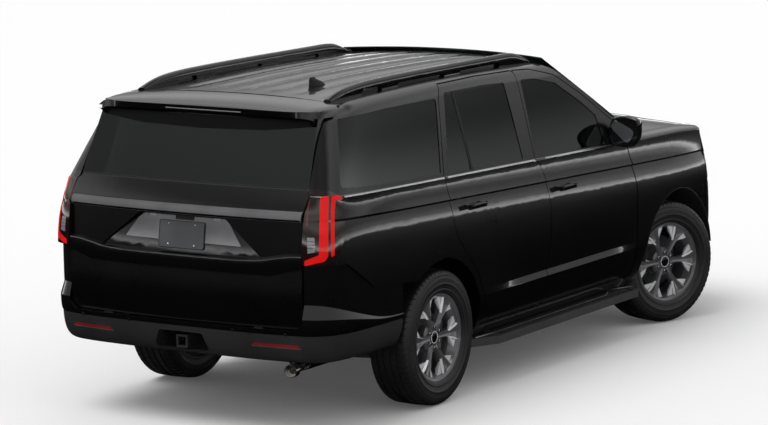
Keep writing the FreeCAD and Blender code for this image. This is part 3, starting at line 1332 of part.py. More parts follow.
def main():
    """Builds and writes every piece."""
    os.makedirs(PARTS, exist_ok=True)
    roof = roof_panel()
    front_door = door(FRONT_DOOR, [FRONT_WINDOW]).fuse(door_handle(113, 1112))
    rear_door = door(REAR_DOOR, [REAR_WINDOW]).fuse(door_handle(-1019, 1147))
    right = side_body(front_door, rear_door)
    right = right.cut(lamp_cutter(0.0).common(side_slab(-40, -40, 72, 42)))
    right = right.cut(roof)
    right = largest(right)
    left = mirrored(right)
    sides = (right, left)
    save("body_side_right", right)
    save("body_side_left", left)
    lamp = tail_lamp().cut(prism_y(GATE_OPENING, -2900, -2200)).cut(prism_x(grown(BUMPER_SIDE, COVER_GAP), 300, 1200))
    save("tail_lamps", lamp, mirrored(lamp))
    front_glass = [pane(FRONT_WINDOW)]
    rear_glass = [pane(REAR_WINDOW)]
    quarter_glass = pane(QUARTER_WINDOW)
    side_mirror = largest(mirror().cut(front_door))
    for name, flip in (("right", lambda s: s), ("left", mirrored)):
        save("front_door_" + name, flip(front_door))
        save("rear_door_" + name, flip(rear_door))
        save("front_door_glass_" + name, *[flip(g) for g in front_glass])
        save("rear_door_glass_" + name, *[flip(g) for g in rear_glass])
        save("mirror_" + name, flip(side_mirror))
    save("quarter_glass", quarter_glass, mirrored(quarter_glass))
    hinge_roof = [box(x - 35, x + 35, GATE_SHUT_Y - SHUT_GAP + SEAT_GAP, GATE_SHUT_Y + 40, 1838, 1858) for x in (-520, 520)]
    save("roof_panel", roof.fuse(hinge_roof))
    lid = hood()
    wing = fender()
    save("hood", lid)
    save("front_fenders", wing, mirrored(wing))
    save("tailgate", tailgate())
    save("liftgate", liftgate())
    save("liftgate_glass", liftgate_glass())
    save("rear_bumper", rear_bumper())
    save("rear_valance", rear_valance())
    nose = front_bumper(lid)
    save("front_bumper", nose)
    liner = wheel_liner(wing, nose)
    save("wheel_liners", liner, mirrored(liner))
    save("grille", grille())
    lamp_front = headlamp()
    save("headlamps", lamp_front, mirrored(lamp_front))
    board = running_board()
    save("running_boards", board, mirrored(board))
    rail = roof_rail(roof)
    save("roof_rails", rail, mirrored(rail))
    save("roof_antenna", roof_antenna(roof))
    front_structure = cowl(sides, wing)
    feet = []
    lowered = lid.copy()
    lowered.translate(Vector(0, 0, -SEAT_GAP))
    for x in (-700, 700):
        foot = box(x - 25, x + 25, 1330, 1380, 1240, 1320)
        feet.append(min(foot.cut(lowered).Solids, key=lambda solid: solid.BoundBox.ZMin))
    save("cowl", front_structure.fuse(feet))
    glass = windscreen().cut(right).cut(left).cut(roof)
    save("windscreen", largest(glass))
    save("floor_pan", floor_pan(sides))
    save("ladder_frame", ladder_frame())
    save("suspension", *suspension())
    save("exhaust", exhaust())
    tyre_shape = tyre()
    wheel_shape = wheel()
    for side, side_name in ((1, "right"), (-1, "left")):
        for axle_y, axle_name, steer in ((FRONT_AXLE_Y, "front", STEER_REST_DEG), (REAR_AXLE_Y, "rear", 0.0)):
            corner = axle_name + "_" + side_name
            save("tyre_" + corner, placed_wheel(tyre_shape, side, axle_y, steer))
            save("wheel_" + corner, placed_wheel(wheel_shape, side, axle_y, steer))
            save("knuckle_" + corner, knuckle(side, axle_y, steer))
    save("front_seats", seat(400, 330, 520, 620, FLOOR_Z, 254), seat(-400, 330, 520, 620, FLOOR_Z, 254))
    save("rear_seats", seat(0, -600, 1240, 600, FLOOR_Z, 254), seat(0, -1560, 960, 520, LOAD_FLOOR_Z, 154))
    save("dashboard", dashboard())
    engine = box(-300, 300, 1400, 2050, 520, 1050)
    feet = [box(s * 295 if s > 0 else -(RAIL_X - RAIL_HALF_WIDTH - SEAT_GAP), RAIL_X - RAIL_HALF_WIDTH - SEAT_GAP if s > 0 else -295, 1700, 1780, 525, 555) for s in (1, -1)]
    save("engine_block", engine.fuse(feet))


main()
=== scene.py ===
"""Looks of the full-size SUV: finishes, glass, lamps, tyres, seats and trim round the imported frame."""

import math
import bmesh
import bpy
from mathutils import Matrix, Vector, geometry
from mathutils.bvhtree import BVHTree


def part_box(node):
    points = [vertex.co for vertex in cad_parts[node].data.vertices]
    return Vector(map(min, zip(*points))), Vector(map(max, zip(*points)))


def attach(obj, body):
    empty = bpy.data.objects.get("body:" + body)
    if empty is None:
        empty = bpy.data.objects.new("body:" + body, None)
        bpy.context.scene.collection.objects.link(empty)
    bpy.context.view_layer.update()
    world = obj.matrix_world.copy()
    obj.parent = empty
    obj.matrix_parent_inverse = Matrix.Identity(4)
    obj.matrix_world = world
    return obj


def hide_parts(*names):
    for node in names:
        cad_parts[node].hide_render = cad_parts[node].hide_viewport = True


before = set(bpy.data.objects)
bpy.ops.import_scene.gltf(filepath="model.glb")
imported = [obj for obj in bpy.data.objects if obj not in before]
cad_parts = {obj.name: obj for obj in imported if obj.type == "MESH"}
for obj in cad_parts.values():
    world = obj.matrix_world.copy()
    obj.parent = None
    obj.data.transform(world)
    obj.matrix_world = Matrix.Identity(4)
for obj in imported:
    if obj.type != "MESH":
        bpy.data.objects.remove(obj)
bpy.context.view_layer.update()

# Camera, solved from the photograph: place in metres, angles in degrees, focal length in pixels
CAMERA_PLACE = Vector((10.811, -18.108, 4.124))
CAMERA_YAW = 31.42
CAMERA_PITCH = 8.71
CAMERA_ROLL = -0.54
CAMERA_FOCAL = 3352.7
FRAME_WIDTH = 768
FRAME_HEIGHT = 425
SENSOR_WIDTH = 36.0

# What reflections see, by the sine of the height: dark ground, bright horizon, grey sky, bright panel overhead
SKY_PEAK = 6.0
SKY_STOPS = [
    (-1.0, 0.0), (-0.012, 0.0), (0.006, 2.4), (0.022, 1.5), (0.05, 0.45), (0.12, 0.2), (0.3, 0.6),
    (0.45, 0.5), (0.62, 0.75), (0.76, 0.16), (0.88, 0.25), (0.95, 2.2), (1.0, 4.5),
]
FILL_LIGHT = 0.8
SUN_LIGHT = 1.15
SUN_SPREAD = 38
SUN_TURN = (24, -14, 0)
FLOOR_HALF = 90.0
FLOOR_GLOW = 0.045

# Wheels, in metres: side, body and upright's body of each corner
WHEEL_SIDES = {"front_right": 1, "front_left": -1, "rear_right": 1, "rear_left": -1}
KNUCKLE_BODIES = {"front_right": "steer_right", "front_left": "steer_left", "rear_right": "body", "rear_left": "body"}
STEER_REST = math.radians(20.0)
TYRE_RADIUS = 0.405
SPOKES = 6

UP = Vector((0, 0, 1))
QUAD = ((-1, -1), (1, -1), (1, 1), (-1, 1))


# Scene set-up

def aim_camera():
    """Places the camera where the photograph was taken from."""
    yaw, pitch, roll = (math.radians(a) for a in (CAMERA_YAW, CAMERA_PITCH, CAMERA_ROLL))
    forward = Vector((-math.sin(yaw) * math.cos(pitch), math.cos(yaw) * math.cos(pitch), -math.sin(pitch)))
    level = Vector((math.cos(yaw), math.sin(yaw), 0.0))
    rise = level.cross(forward)
    right = level * math.cos(roll) + rise * math.sin(roll)
    up = rise * math.cos(roll) - level * math.sin(roll)
    data = bpy.data.cameras.new("camera")
    data.sensor_width = SENSOR_WIDTH
    data.sensor_fit = "HORIZONTAL"
    data.lens = CAMERA_FOCAL * SENSOR_WIDTH / FRAME_WIDTH
    data.clip_end = 200.0
    camera = bpy.data.objects.new("camera", data)
    camera.matrix_world = Matrix.Translation(CAMERA_PLACE) @ Matrix((right, up, -forward)).transposed().to_4x4()
    bpy.context.scene.collection.objects.link(camera)
    bpy.context.scene.camera = camera


def nodes_of(tree_owner):
    """Empty node tree of a material or world, with its output."""
    tree_owner.use_nodes = True
    tree = tree_owner.node_tree
    tree.nodes.clear()
    kind = "ShaderNodeOutputWorld" if isinstance(tree_owner, bpy.types.World) else "ShaderNodeOutputMaterial"
    return tree, tree.nodes.new(kind)


def node(tree, kind, values=None):
    """New shader node with the given input values."""
    new = tree.nodes.new("ShaderNode" + kind)
    for label, value in (values or {}).items():
        new.inputs[label].default_value = value
    return new


def wire(tree, *pairs):
    """Links each output to its input. A node stands for its first output."""
    for source, target in pairs:
        tree.links.new(source.outputs[0] if isinstance(source, bpy.types.Node) else source, target)


def ramp(tree, source, stops):
    """Colour ramp of grey or coloured stops, driven by a socket."""
    new = node(tree, "ValToRGB")
    new.color_ramp.interpolation = "EASE"
    points = new.color_ramp.elements
    while len(points) > 1:
        points.remove(points[-1])
    for i, (place, value) in enumerate(stops):
        point = points[0] if i == 0 else points.new(place)
        point.position = place
        point.color = (*value, 1.0) if isinstance(value, tuple) else (value, value, value, 1.0)
    wire(tree, (source, new.inputs["Fac"]))
    return new.outputs["Color"]


def studio():
    """White surroundings for the eye, a banded sky for reflections, and an even fill."""
    world = bpy.data.worlds.new("studio")
    bpy.context.scene.world = world
    tree, out = nodes_of(world)
    place = node(tree, "TexCoord")
    split = node(tree, "SeparateXYZ")
    height = node(tree, "MapRange", {"From Min": -1.0, "From Max": 1.0})
    sky = ramp(tree, height.outputs["Result"], [((1 + sine) / 2, value / SKY_PEAK) for sine, value in SKY_STOPS])
    mirrored = node(tree, "Background", {"Strength": SKY_PEAK})
    fill = node(tree, "Background", {"Strength": FILL_LIGHT})
    white = node(tree, "Background")
    path = node(tree, "LightPath")
    seen = node(tree, "Math")
    seen.operation = "MAXIMUM"
    lit = node(tree, "MixShader")
    final = node(tree, "MixShader")
    wire(
        tree,
        (place.outputs["Generated"], split.inputs[0]),
        (split.outputs["Z"], height.inputs["Value"]),
        (sky, mirrored.inputs["Color"]),
        (path.outputs["Is Camera Ray"], seen.inputs[0]),
        (path.outputs["Is Transmission Ray"], seen.inputs[1]),
        (path.outputs["Is Glossy Ray"], lit.inputs[0]),
        (fill, lit.inputs[1]),
        (mirrored, lit.inputs[2]),
        (seen, final.inputs[0]),
        (lit, final.inputs[1]),
        (white, final.inputs[2]),
        (final, out.inputs["Surface"]),
    )
    sun_data = bpy.data.lights.new("key", "SUN")
    sun_data.energy = SUN_LIGHT
    sun_data.angle = math.radians(SUN_SPREAD)
    sun = bpy.data.objects.new("key", sun_data)
    sun.rotation_euler = tuple(math.radians(a) for a in SUN_TURN)
    sun.visible_glossy = False
    bpy.context.scene.collection.objects.link(sun)


def floor():
    """Plain pale ground that keeps the shadow and stays out of the paint's reflections."""
    mesh = bpy.data.meshes.new("ground")
    corners = [(a * FLOOR_HALF, b * FLOOR_HALF, 0) for a, b in QUAD]
    mesh.from_pydata(corners, [], [(0, 1, 2, 3)])
    ground = bpy.data.objects.new("ground", mesh)
    bpy.context.scene.collection.objects.link(ground)
    material = bpy.data.materials.new("ground")
    tree, out = nodes_of(material)
    pale = node(tree, "BsdfDiffuse", {"Color": (0.98, 0.98, 0.98, 1)})
    dim = node(tree, "BsdfDiffuse", {"Color": (0.006, 0.006, 0.006, 1)})
    path = node(tree, "LightPath")
    glow = node(tree, "Emission")
    lift = node(tree, "Math")
    lift.operation = "MULTIPLY"
    lift.inputs[1].default_value = FLOOR_GLOW
    seen = node(tree, "AddShader")
    mix = node(tree, "MixShader")
    wire(
        tree,
        (path.outputs["Is Camera Ray"], lift.inputs[0]),
        (lift, glow.inputs["Strength"]),
        (pale, seen.inputs[0]),
        (glow, seen.inputs[1]),
        (path.outputs["Is Glossy Ray"], mix.inputs[0]),
        (seen, mix.inputs[1]),
        (dim, mix.inputs[2]),
        (mix, out.inputs["Surface"]),
    )
    mesh.materials.append(material)


# Materials

BUMP_HEIGHT = 0.0006
DRIFT_SCALE = 3.5
# Glass mirroring is painted to fade between these heights, from GLASS_SHINE at the foot: a painted reflection of the
# bright horizon
GLASS_FOOT = 1.30
GLASS_TOP = 1.68
GLASS_SHINE = (0.9, 0.92, 0.92)
GREEN_TINT = (0.9, 1.0, 0.975)
SMOKE_TINT = (0.75, 0.88, 0.86)


def finish(name, colour, rough, metal=0.0, coat=0.0, coat_rough=0.03, bump=0.0, bump_scale=400.0, vary=0.15,
           spread=0.0, specular=0.5, emission=0.0, sheen=0.0, grain="noise"):
    """Material with drifting colour and roughness, and a fine bump at its own scale."""
    material = bpy.data.materials.new(name)
    tree, out = nodes_of(material)
    shader = node(tree, "BsdfPrincipled", {
        "Metallic": metal, "Coat Weight": coat, "Coat Roughness": coat_rough, "Specular IOR Level": specular,
        "IOR": 1.5, "Sheen Weight": sheen,
    })
    place = node(tree, "TexCoord")
    drift = node(tree, "TexNoise", {"Scale": DRIFT_SCALE, "Detail": 5.0})
    dark = tuple(c * (1 - vary) for c in colour)
    light = tuple(min(1.0, c * (1 + vary)) for c in colour)
    tint = ramp(tree, drift.outputs["Fac"], [(0.3, dark), (0.7, light)])
    soft = node(tree, "MapRange", {"To Min": max(0.0, rough - spread), "To Max": min(1.0, rough + spread)})
    wire(
        tree,
        (place.outputs["Object"], drift.inputs["Vector"]),
        (tint, shader.inputs["Base Color"]),
        (drift.outputs["Fac"], soft.inputs["Value"]),
        (soft, shader.inputs["Roughness"]),
        (shader, out.inputs["Surface"]),
    )
    if emission:
        shader.inputs["Emission Color"].default_value = (*colour, 1)
        shader.inputs["Emission Strength"].default_value = emission
    if bump:
        fine = node(tree, "TexNoise" if grain == "noise" else "TexVoronoi", {"Scale": bump_scale})
        if grain == "noise":
            fine.inputs["Detail"].default_value = 3.0
        raised = node(tree, "Bump", {"Strength": bump, "Distance": BUMP_HEIGHT})
        wire(
            tree,
            (place.outputs["Object"], fine.inputs["Vector"]),
            (fine.outputs["Fac" if grain == "noise" else "Distance"], raised.inputs["Height"]),
            (raised, shader.inputs["Normal"]),
        )
    return material


def glass(name, tint, density, ior=1.45, painted_reflection_fade=1.0):
    """Flat glass: mirrors by angle, and lets the tinted view through. The mirroring is a painted reflection that fades
    with height, brightest at the foot; the last argument is the mirroring left at its top.
    """
    material = bpy.data.materials.new(name)
    tree, out = nodes_of(material)
    clear = node(tree, "BsdfTransparent")
    place = node(tree, "TexCoord")
    drift = node(tree, "TexNoise", {"Scale": 1.3})
    low = tuple(c * density * 0.94 for c in tint)
    high = tuple(c * density * 1.06 for c in tint)
    gloss = node(tree, "BsdfGlossy", {"Roughness": 0.015})
    split = node(tree, "SeparateXYZ")
    height = node(tree, "MapRange", {"From Min": GLASS_FOOT, "From Max": GLASS_TOP})
    # Painted reflection: the mirroring colour dims from the foot to the top
    painted_top_reflection = tuple(c * painted_reflection_fade for c in GLASS_SHINE)
    angle = node(tree, "Fresnel", {"IOR": ior})
    mix = node(tree, "MixShader")
    wire(
        tree,
        (place.outputs["Object"], drift.inputs["Vector"]),
        (ramp(tree, drift.outputs["Fac"], [(0.3, low), (0.7, high)]), clear.inputs["Color"]),
        (place.outputs["Object"], split.inputs[0]),
        (split.outputs["Z"], height.inputs["Value"]),
        (ramp(tree, height.outputs["Result"], [(0.0, GLASS_SHINE), (1.0, painted_top_reflection)]), gloss.inputs["Color"]),
        (angle, mix.inputs[0]),
        (clear, mix.inputs[1]),
        (gloss, mix.inputs[2]),
        (mix, out.inputs["Surface"]),
    )
    return material


# Colour, roughness and what else sets each finish apart
FINISHES = {
    "body_paint": ((0.0012, 0.0012, 0.0014), 0.28, dict(coat=1.0, coat_rough=0.015, specular=0.25, bump=0.012,
                                                        bump_scale=260.0, spread=0.03)),
    "gloss_black": ((0.004, 0.004, 0.004), 0.12, dict(coat=0.5, specular=0.4, bump=0.01, bump_scale=500.0,
                                                      spread=0.03)),
    "black_plastic": ((0.012, 0.012, 0.013), 0.62, dict(bump=0.5, bump_scale=900.0, spread=0.06, grain="cells")),
    "black_steel": ((0.014, 0.014, 0.014), 0.5, dict(bump=0.3, bump_scale=160.0, spread=0.12, vary=0.3)),
    "exhaust_steel": ((0.62, 0.6, 0.57), 0.24, dict(metal=1.0, bump=0.08, bump_scale=120.0, spread=0.1)),
    "cast_metal": ((0.3, 0.3, 0.31), 0.55, dict(metal=0.8, bump=0.5, bump_scale=220.0, spread=0.1, vary=0.25)),
    "cabin_plastic": ((0.022, 0.022, 0.024), 0.6, dict(bump=0.4, bump_scale=700.0, grain="cells")),
    "upholstery": ((0.03, 0.029, 0.03), 0.55, dict(bump=0.6, bump_scale=420.0, grain="cells", sheen=0.1)),
    "tyre": ((0.008, 0.008, 0.008), 0.46, dict(specular=0.7, bump=0.3, bump_scale=300.0, spread=0.08, vary=0.3)),
    "wheel_alloy": ((0.13, 0.13, 0.137), 0.28, dict(metal=0.45, coat=0.8, bump=0.05, bump_scale=600.0)),
    # Spoke wings and machined faces: the metal's own brightness, with the colour raised as a painted highlight in place
    # of the reflection they catch
    "facet_and_highlight": ((0.58, 0.585, 0.6), 0.22, dict(metal=0.1, coat=0.6, bump=0.04, bump_scale=700.0)),
    "machined_and_highlight": ((0.9, 0.91, 0.93), 0.24, dict(metal=0.08, coat=0.4, bump=0.06, bump_scale=900.0)),
    # Brake iron, darkened as painted shade seen through the wheel's pockets
    "disc_iron_and_shade": ((0.07, 0.07, 0.07), 0.34, dict(metal=0.6, bump=0.15, bump_scale=300.0, spread=0.08)),
    # Bright metal for the painted belt highlight
    "belt_highlight_metal": ((0.72, 0.73, 0.75), 0.22, dict(metal=1.0, coat=0.3, bump=0.02, bump_scale=300.0)),
    "satin_trim": ((0.36, 0.37, 0.38), 0.38, dict(metal=0.9, bump=0.05, bump_scale=800.0)),
    "lamp_red": ((0.55, 0.0, 0.001), 0.3, dict(coat=0.5, specular=0.2, emission=0.3, bump=0.15, bump_scale=320.0,
                                               grain="cells")),
    "lamp_dark": ((0.012, 0.004, 0.004), 0.08, dict(coat=1.0, bump=0.02, bump_scale=300.0)),
    "lamp_white": ((0.24, 0.24, 0.25), 0.2, dict(metal=0.3, coat=1.0, bump=0.25, bump_scale=320.0, grain="cells")),
    "reflector": ((0.16, 0.008, 0.01), 0.15, dict(coat=1.0, bump=0.5, bump_scale=380.0, grain="cells")),
    "plate_blank": ((0.06, 0.062, 0.066), 0.45, dict(bump=0.1, bump_scale=200.0)),
    "rubber": ((0.01, 0.01, 0.01), 0.7, dict(bump=0.2, bump_scale=500.0)),
    "step_plastic": ((0.035, 0.035, 0.036), 0.5, dict(bump=0.3, bump_scale=700.0, grain="cells")),
    # The barrel's dark paint, darkened to near black as painted shade inside the wheel; the dust shield wears it too
    "dark_paint_and_shade": ((0.003, 0.003, 0.003), 0.6, dict(specular=0.2, bump=0.1, bump_scale=300.0)),
    "nut_chrome": ((0.7, 0.7, 0.72), 0.16, dict(metal=1.0, bump=0.02)),
    "satin_black": ((0.16, 0.16, 0.165), 0.36, dict(metal=0.6, bump=0.05, bump_scale=700.0)),
    "bay_metal": ((0.27, 0.27, 0.28), 0.2, dict(metal=1.0, bump=0.02, bump_scale=500.0)),
    # Near black, for the painted reflection of the spoiler on the gate glass
    "spoiler_reflection_black": ((0.002, 0.002, 0.002), 0.45, dict(specular=0.12, bump=0.02, bump_scale=900.0)),
    "mirror_glass": ((0.10, 0.105, 0.11), 0.04, dict(metal=0.3, coat=1.0, bump=0.005, bump_scale=300.0)),
    "leather": ((0.012, 0.012, 0.013), 0.48, dict(bump=0.5, bump_scale=520.0, grain="cells")),
    "reflector_bright": ((0.8, 0.8, 0.82), 0.12, dict(metal=1.0, bump=0.1, bump_scale=200.0)),
}

# Tint, share let through by each face, index of refraction, and the painted reflection left at the top (mirroring
# painted brighter low, dimmer high)
GLASSES = {
    "privacy_glass": (SMOKE_TINT, 0.24),
    "quarter_pane": (SMOKE_TINT, 0.24, 2.4, 0.3),
    "rear_door_pane": (GREEN_TINT, 0.5, 2.4, 0.3),
    "door_glass": (GREEN_TINT, 0.62, 2.4, 0.3),
    "screen_glass": (GREEN_TINT, 0.66),
    "lamp_clear": ((0.96, 0.98, 1.0), 0.9),
    "lens": ((0.95, 0.97, 1.0), 0.8),
}

M = {name: finish(name, colour, rough, **facts) for name, (colour, rough, facts) in FINISHES.items()}
M.update({name: glass(name, *facts) for name, facts in GLASSES.items()})

NODE_FINISH = {
    "body_paint": [
        "body_side_right", "body_side_left", "front_door_right", "front_door_left", "rear_door_right",
        "rear_door_left", "liftgate", "tailgate", "hood", "front_fenders", "rear_bumper", "front_bumper", "roof_panel",
    ],
    "gloss_black": ["mirror_right", "mirror_left", "roof_rails", "grille"],
    "black_plastic": ["rear_valance", "cowl", "roof_antenna", "wheel_liners"],
    "black_steel": ["ladder_frame", "suspension", "floor_pan"],
    "exhaust_steel": ["exhaust"],
    "cast_metal": ["engine_block"] + ["knuckle_" + corner for corner in WHEEL_SIDES],
    "cabin_plastic": ["dashboard"],
    "upholstery": ["front_seats", "rear_seats"],
    "tyre": ["tyre_" + corner for corner in WHEEL_SIDES],
    "wheel_alloy": ["wheel_" + corner for corner in WHEEL_SIDES],
    "lamp_dark": ["tail_lamps"],
    "lamp_clear": ["headlamps"],
    "privacy_glass": ["liftgate_glass"],
    "quarter_pane": ["quarter_glass"],
    "rear_door_pane": ["rear_door_glass_right", "rear_door_glass_left"],
    "door_glass": ["front_door_glass_right", "front_door_glass_left"],
    "screen_glass": ["windscreen"],
    "step_plastic": ["running_boards"],
}


def dress_nodes():
    """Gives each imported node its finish."""
    for name, nodes in NODE_FINISH.items():
        for packed in nodes:
            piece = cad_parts[packed]
            if not piece.material_slots:
                piece.data.materials.append(M[name])
            for slot in piece.material_slots:
                slot.material = M[name]


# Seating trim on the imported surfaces

class Skin:
    """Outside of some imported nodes, which trim is laid on."""

    def __init__(self, *nodes):
        build = bmesh.new()
        for packed in nodes:
            build.from_mesh(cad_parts[packed].data)
        self.tree = BVHTree.FromBMesh(build)
        build.free()

    def seat(self, look, a, b):
        """Point of the surface that is seen at (a, b), with its outward direction."""
        start, ray = LOOKS[look](a, b)
        place, normal, _, _ = self.tree.ray_cast(start, ray)
        if place is None:
            middle = self.tree.find_nearest(start + ray * LOOK_DEPTH[look])
            place = start + ray * (middle[0] - start).dot(ray)
            normal = middle[1]
        if normal.dot(ray) > 0:
            normal = -normal
        return place, normal


def photo_ray(across, down):
    """Line of sight through a pixel of the photograph."""
    camera = bpy.context.scene.camera.matrix_world
    ray = camera.to_3x3() @ Vector((across - FRAME_WIDTH / 2, FRAME_HEIGHT / 2 - down, -CAMERA_FOCAL))
    return CAMERA_PLACE.copy(), ray.normalized()


# Where each look starts and which way it goes, and how far off the surface is on average
LOOKS = {
    "photo": photo_ray,
    "side": lambda y, z: (Vector((3, y, z)), Vector((-1, 0, 0))),
    "back": lambda x, z: (Vector((x, -5, z)), Vector((0, 1, 0))),
    "front": lambda x, z: (Vector((x, 5, z)), Vector((0, -1, 0))),
    "top": lambda x, y: (Vector((x, y, 4)), Vector((0, 0, -1))),
    "inside": lambda y, z: (Vector((0.1, y, z)), Vector((1, 0, 0))),
}
LOOK_DEPTH = {"photo": 19.0, "side": 2.05, "back": 2.4, "front": 2.5, "top": 2.2, "inside": 0.8}
CORNER_STEPS = 4


def rectangle(low_a, low_b, high_a, high_b, radius):
    """Outline between two corners, with rounded corners."""
    return [(low_a, low_b, radius), (high_a, low_b, radius), (high_a, high_b, radius), (low_a, high_b, radius)]


def rounded(points, closed=True):
    """Outline through (a, b) or (a, b, corner radius) points."""
    out = []
    count = len(points)
    for i, point in enumerate(points):
        here = Vector(point[:2])
        radius = point[2] if len(point) > 2 else 0.0
        if radius == 0.0 or (not closed and i in (0, count - 1)):
            out.append(here)
            continue
        before = Vector(points[i - 1][:2]) - here
        after = Vector(points[(i + 1) % count][:2]) - here
        turn = before.angle(after)
        reach = min(radius / max(0.05, math.tan(turn / 2)), before.length * 0.48, after.length * 0.48)
        first = here + before.normalized() * reach
        last = here + after.normalized() * reach
        for k in range(CORNER_STEPS + 1):
            t = k / CORNER_STEPS
            out.append(first * (1 - t) ** 2 + here * 2 * t * (1 - t) + last * t * t)
    return out


def divided(points, step, closed=True):
    """The same outline with no run longer than step."""
    out = []
    pairs = zip(points, points[1:] + points[:1]) if closed else zip(points, points[1:])
    for a, b in pairs:
        pieces = max(1, math.ceil((b - a).length / step))
        out += [a.lerp(b, k / pieces) for k in range(pieces)]
    if not closed:
        out.append(points[-1])
    return out


def made(name, verts, faces, material, body, bevel=0.0, smooth=35.0):
    """Mesh piece with soft edges that rides on a body."""
    mesh = bpy.data.meshes.new(name)
    mesh.from_pydata([tuple(v) for v in verts], [], faces)
    tidy = bmesh.new()
    tidy.from_mesh(mesh)
    bmesh.ops.remove_doubles(tidy, verts=tidy.verts, dist=1e-6)
    bmesh.ops.recalc_face_normals(tidy, faces=tidy.faces)
    tidy.to_mesh(mesh)
    tidy.free()
    mesh.materials.append(M[material])
    for face in mesh.polygons:
        face.use_smooth = True
    mesh.set_sharp_from_angle(angle=math.radians(smooth))
    piece = bpy.data.objects.new(name, mesh)
    bpy.context.scene.collection.objects.link(piece)
    if bevel:
        edge = piece.modifiers.new("edge", "BEVEL")
        edge.width = bevel
        edge.segments = 2
        edge.limit_method = "ANGLE"
        edge.angle_limit = math.radians(40)
        edge.harden_normals = True
    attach(piece, body)
    return piece


def laid(name, verts, faces, material, body, sides, **facts):
    """The piece as given, as its mirror image on the left (-1), or on both sides (2)."""
    flipped = [(-v[0], v[1], v[2]) for v in verts]
    if sides == 2:
        made(name + "_right", verts, faces, material, body, **facts)
        made(name + "_left", flipped, faces, material, body.replace("_right", "_left"), **facts)
    else:
        made(name, flipped if sides == -1 else verts, faces, material, body, **facts)


def off_edge(point, edge):
    """Distance of a point from a closed outline."""
    gaps = []
    for a, b in zip(edge, edge[1:] + edge[:1]):
        foot, share = geometry.intersect_point_line(point, a, b)
        gaps.append((point - foot).length if 0 < share < 1 else (point - a).length)
    return min(gaps)


def patch(name, look, skin, outline, lift, depth, material, body, step, bevel=0.001, sides=1):
    """Plate cut to an outline and laid on the surface, standing lift proud of it."""
    edge = divided(rounded(outline), step)
    low = Vector((min(p.x for p in edge), min(p.y for p in edge)))
    high = Vector((max(p.x for p in edge), max(p.y for p in edge)))
    points = list(edge)
    rows = int((high.y - low.y) / step)
    columns = int((high.x - low.x) / step)
    for i in range(1, columns + 1):
        for k in range(1, rows + 1):
            point = Vector((low.x + i * (high.x - low.x) / (columns + 1), low.y + k * (high.y - low.y) / (rows + 1)))
            if off_edge(point, edge) > step * 0.45:
                points.append(point)
    border = [(i, (i + 1) % len(edge)) for i in range(len(edge))]
    flat, _, faces, _, _, _ = geometry.delaunay_2d_cdt(points, border, [], 1, 1e-7)
    top = []
    under = []
    for point in flat:
        place, normal = skin.seat(look, point.x, point.y)
        top.append(place + normal * lift)
        under.append(place + normal * (lift - depth))
    count = len(flat)
    shell = [tuple(f) for f in faces]
    used = {(a, b) for f in shell for a, b in zip(f, f[1:] + f[:1])}
    rim = [(a, b) for f in shell for a, b in zip(f, f[1:] + f[:1]) if (b, a) not in used]
    shell += [tuple(i + count for i in reversed(f)) for f in faces]
    shell += [(a, a + count, b + count, b) for a, b in rim]
    laid(name, top + under, shell, material, body, sides, bevel=bevel)


def strip(name, look, skin, path, width, height, material, body, step=0.04, sides=1, closed=False, sink=0.002,
          lift=0.0, taper=None, arch=0.6):
    """Moulding with a crowned section that follows a path over the surface."""
    line = divided(rounded(path, closed), step, closed)
    seats = [skin.seat(look, p.x, p.y) for p in line]
    count = len(seats)
    verts = []
    for i, (place, normal) in enumerate(seats):
        before = seats[i - 1][0] if i or closed else place
        after = seats[(i + 1) % count][0] if i < count - 1 or closed else place
        across = normal.cross((after - before).normalized()).normalized()
        share = 1.0
        if taper and not closed:
            share = min(1.0, 0.25 + min(i, count - 1 - i) * step / taper)
        half = width / 2 * share
        profile = [
            (-half, -sink), (-half, height * (1 - arch)), (-half * 0.6, height * 0.95), (0, height),
            (half * 0.6, height * 0.95), (half, height * (1 - arch)), (half, -sink),
        ]
        for a, h in profile:
            verts.append(place + across * a + normal * (h * share + lift))
    ring = len(profile)
    faces = []
    for i in range(count if closed else count - 1):
        k = (i + 1) % count
        for r in range(ring):
            s = (r + 1) % ring
            faces.append((i * ring + r, i * ring + s, k * ring + s, k * ring + r))
    if not closed:
        faces.append(tuple(range(ring)))
        faces.append(tuple(range((count - 1) * ring, count * ring)))
    laid(name, verts, faces, material, body, sides)


def across_and_up(axis):
    """Two directions square to an axis."""
    across = axis.cross(UP if abs(axis.z) < 0.9 else Vector((1, 0, 0))).normalized()
    return across, across.cross(axis).normalized()


def turned(name, centre, axis, profile, steps, material, body, closed=True, cut=None, smooth=35.0):
    """Solid of revolution. profile is (radius, along) pairs; cut changes a vertex's angle, radius and place."""
    axis = Vector(axis).normalized()
    side, rise = across_and_up(axis)
    verts = []
    for i in range(steps):
        for k, (radius, along) in enumerate(profile):
            angle = 2 * math.pi * i / steps
            if cut:
                angle, radius, along = cut(i, k, radius, along)
            verts.append(Vector(centre) + axis * along + (side * math.cos(angle) + rise * math.sin(angle)) * radius)
    count = len(profile)
    faces = []
    for i in range(steps):
        j = (i + 1) % steps
        for k in range(count if closed else count - 1):
            m = (k + 1) % count
            faces.append((i * count + k, j * count + k, j * count + m, i * count + m))
    if not closed:
        for end in (0, count - 1):
            if profile[end][0] > 1e-4:
                faces.append(tuple(i * count + end for i in range(steps)))
    return made(name, verts, faces, material, body, smooth=smooth)


BOX_FACES = [(0, 3, 2, 1), (4, 5, 6, 7), (0, 1, 5, 4), (1, 2, 6, 5), (2, 3, 7, 6), (3, 0, 4, 7)]


def joined(name, parts, material, body, **facts):
    """Several closed forms as one piece."""
    verts = []
    faces = []
    for more, sides in parts:
        start = len(verts)
        verts += [tuple(v) for v in more]
        faces += [tuple(i + start for i in f) for f in sides]
    return made(name, verts, faces, material, body, **facts)


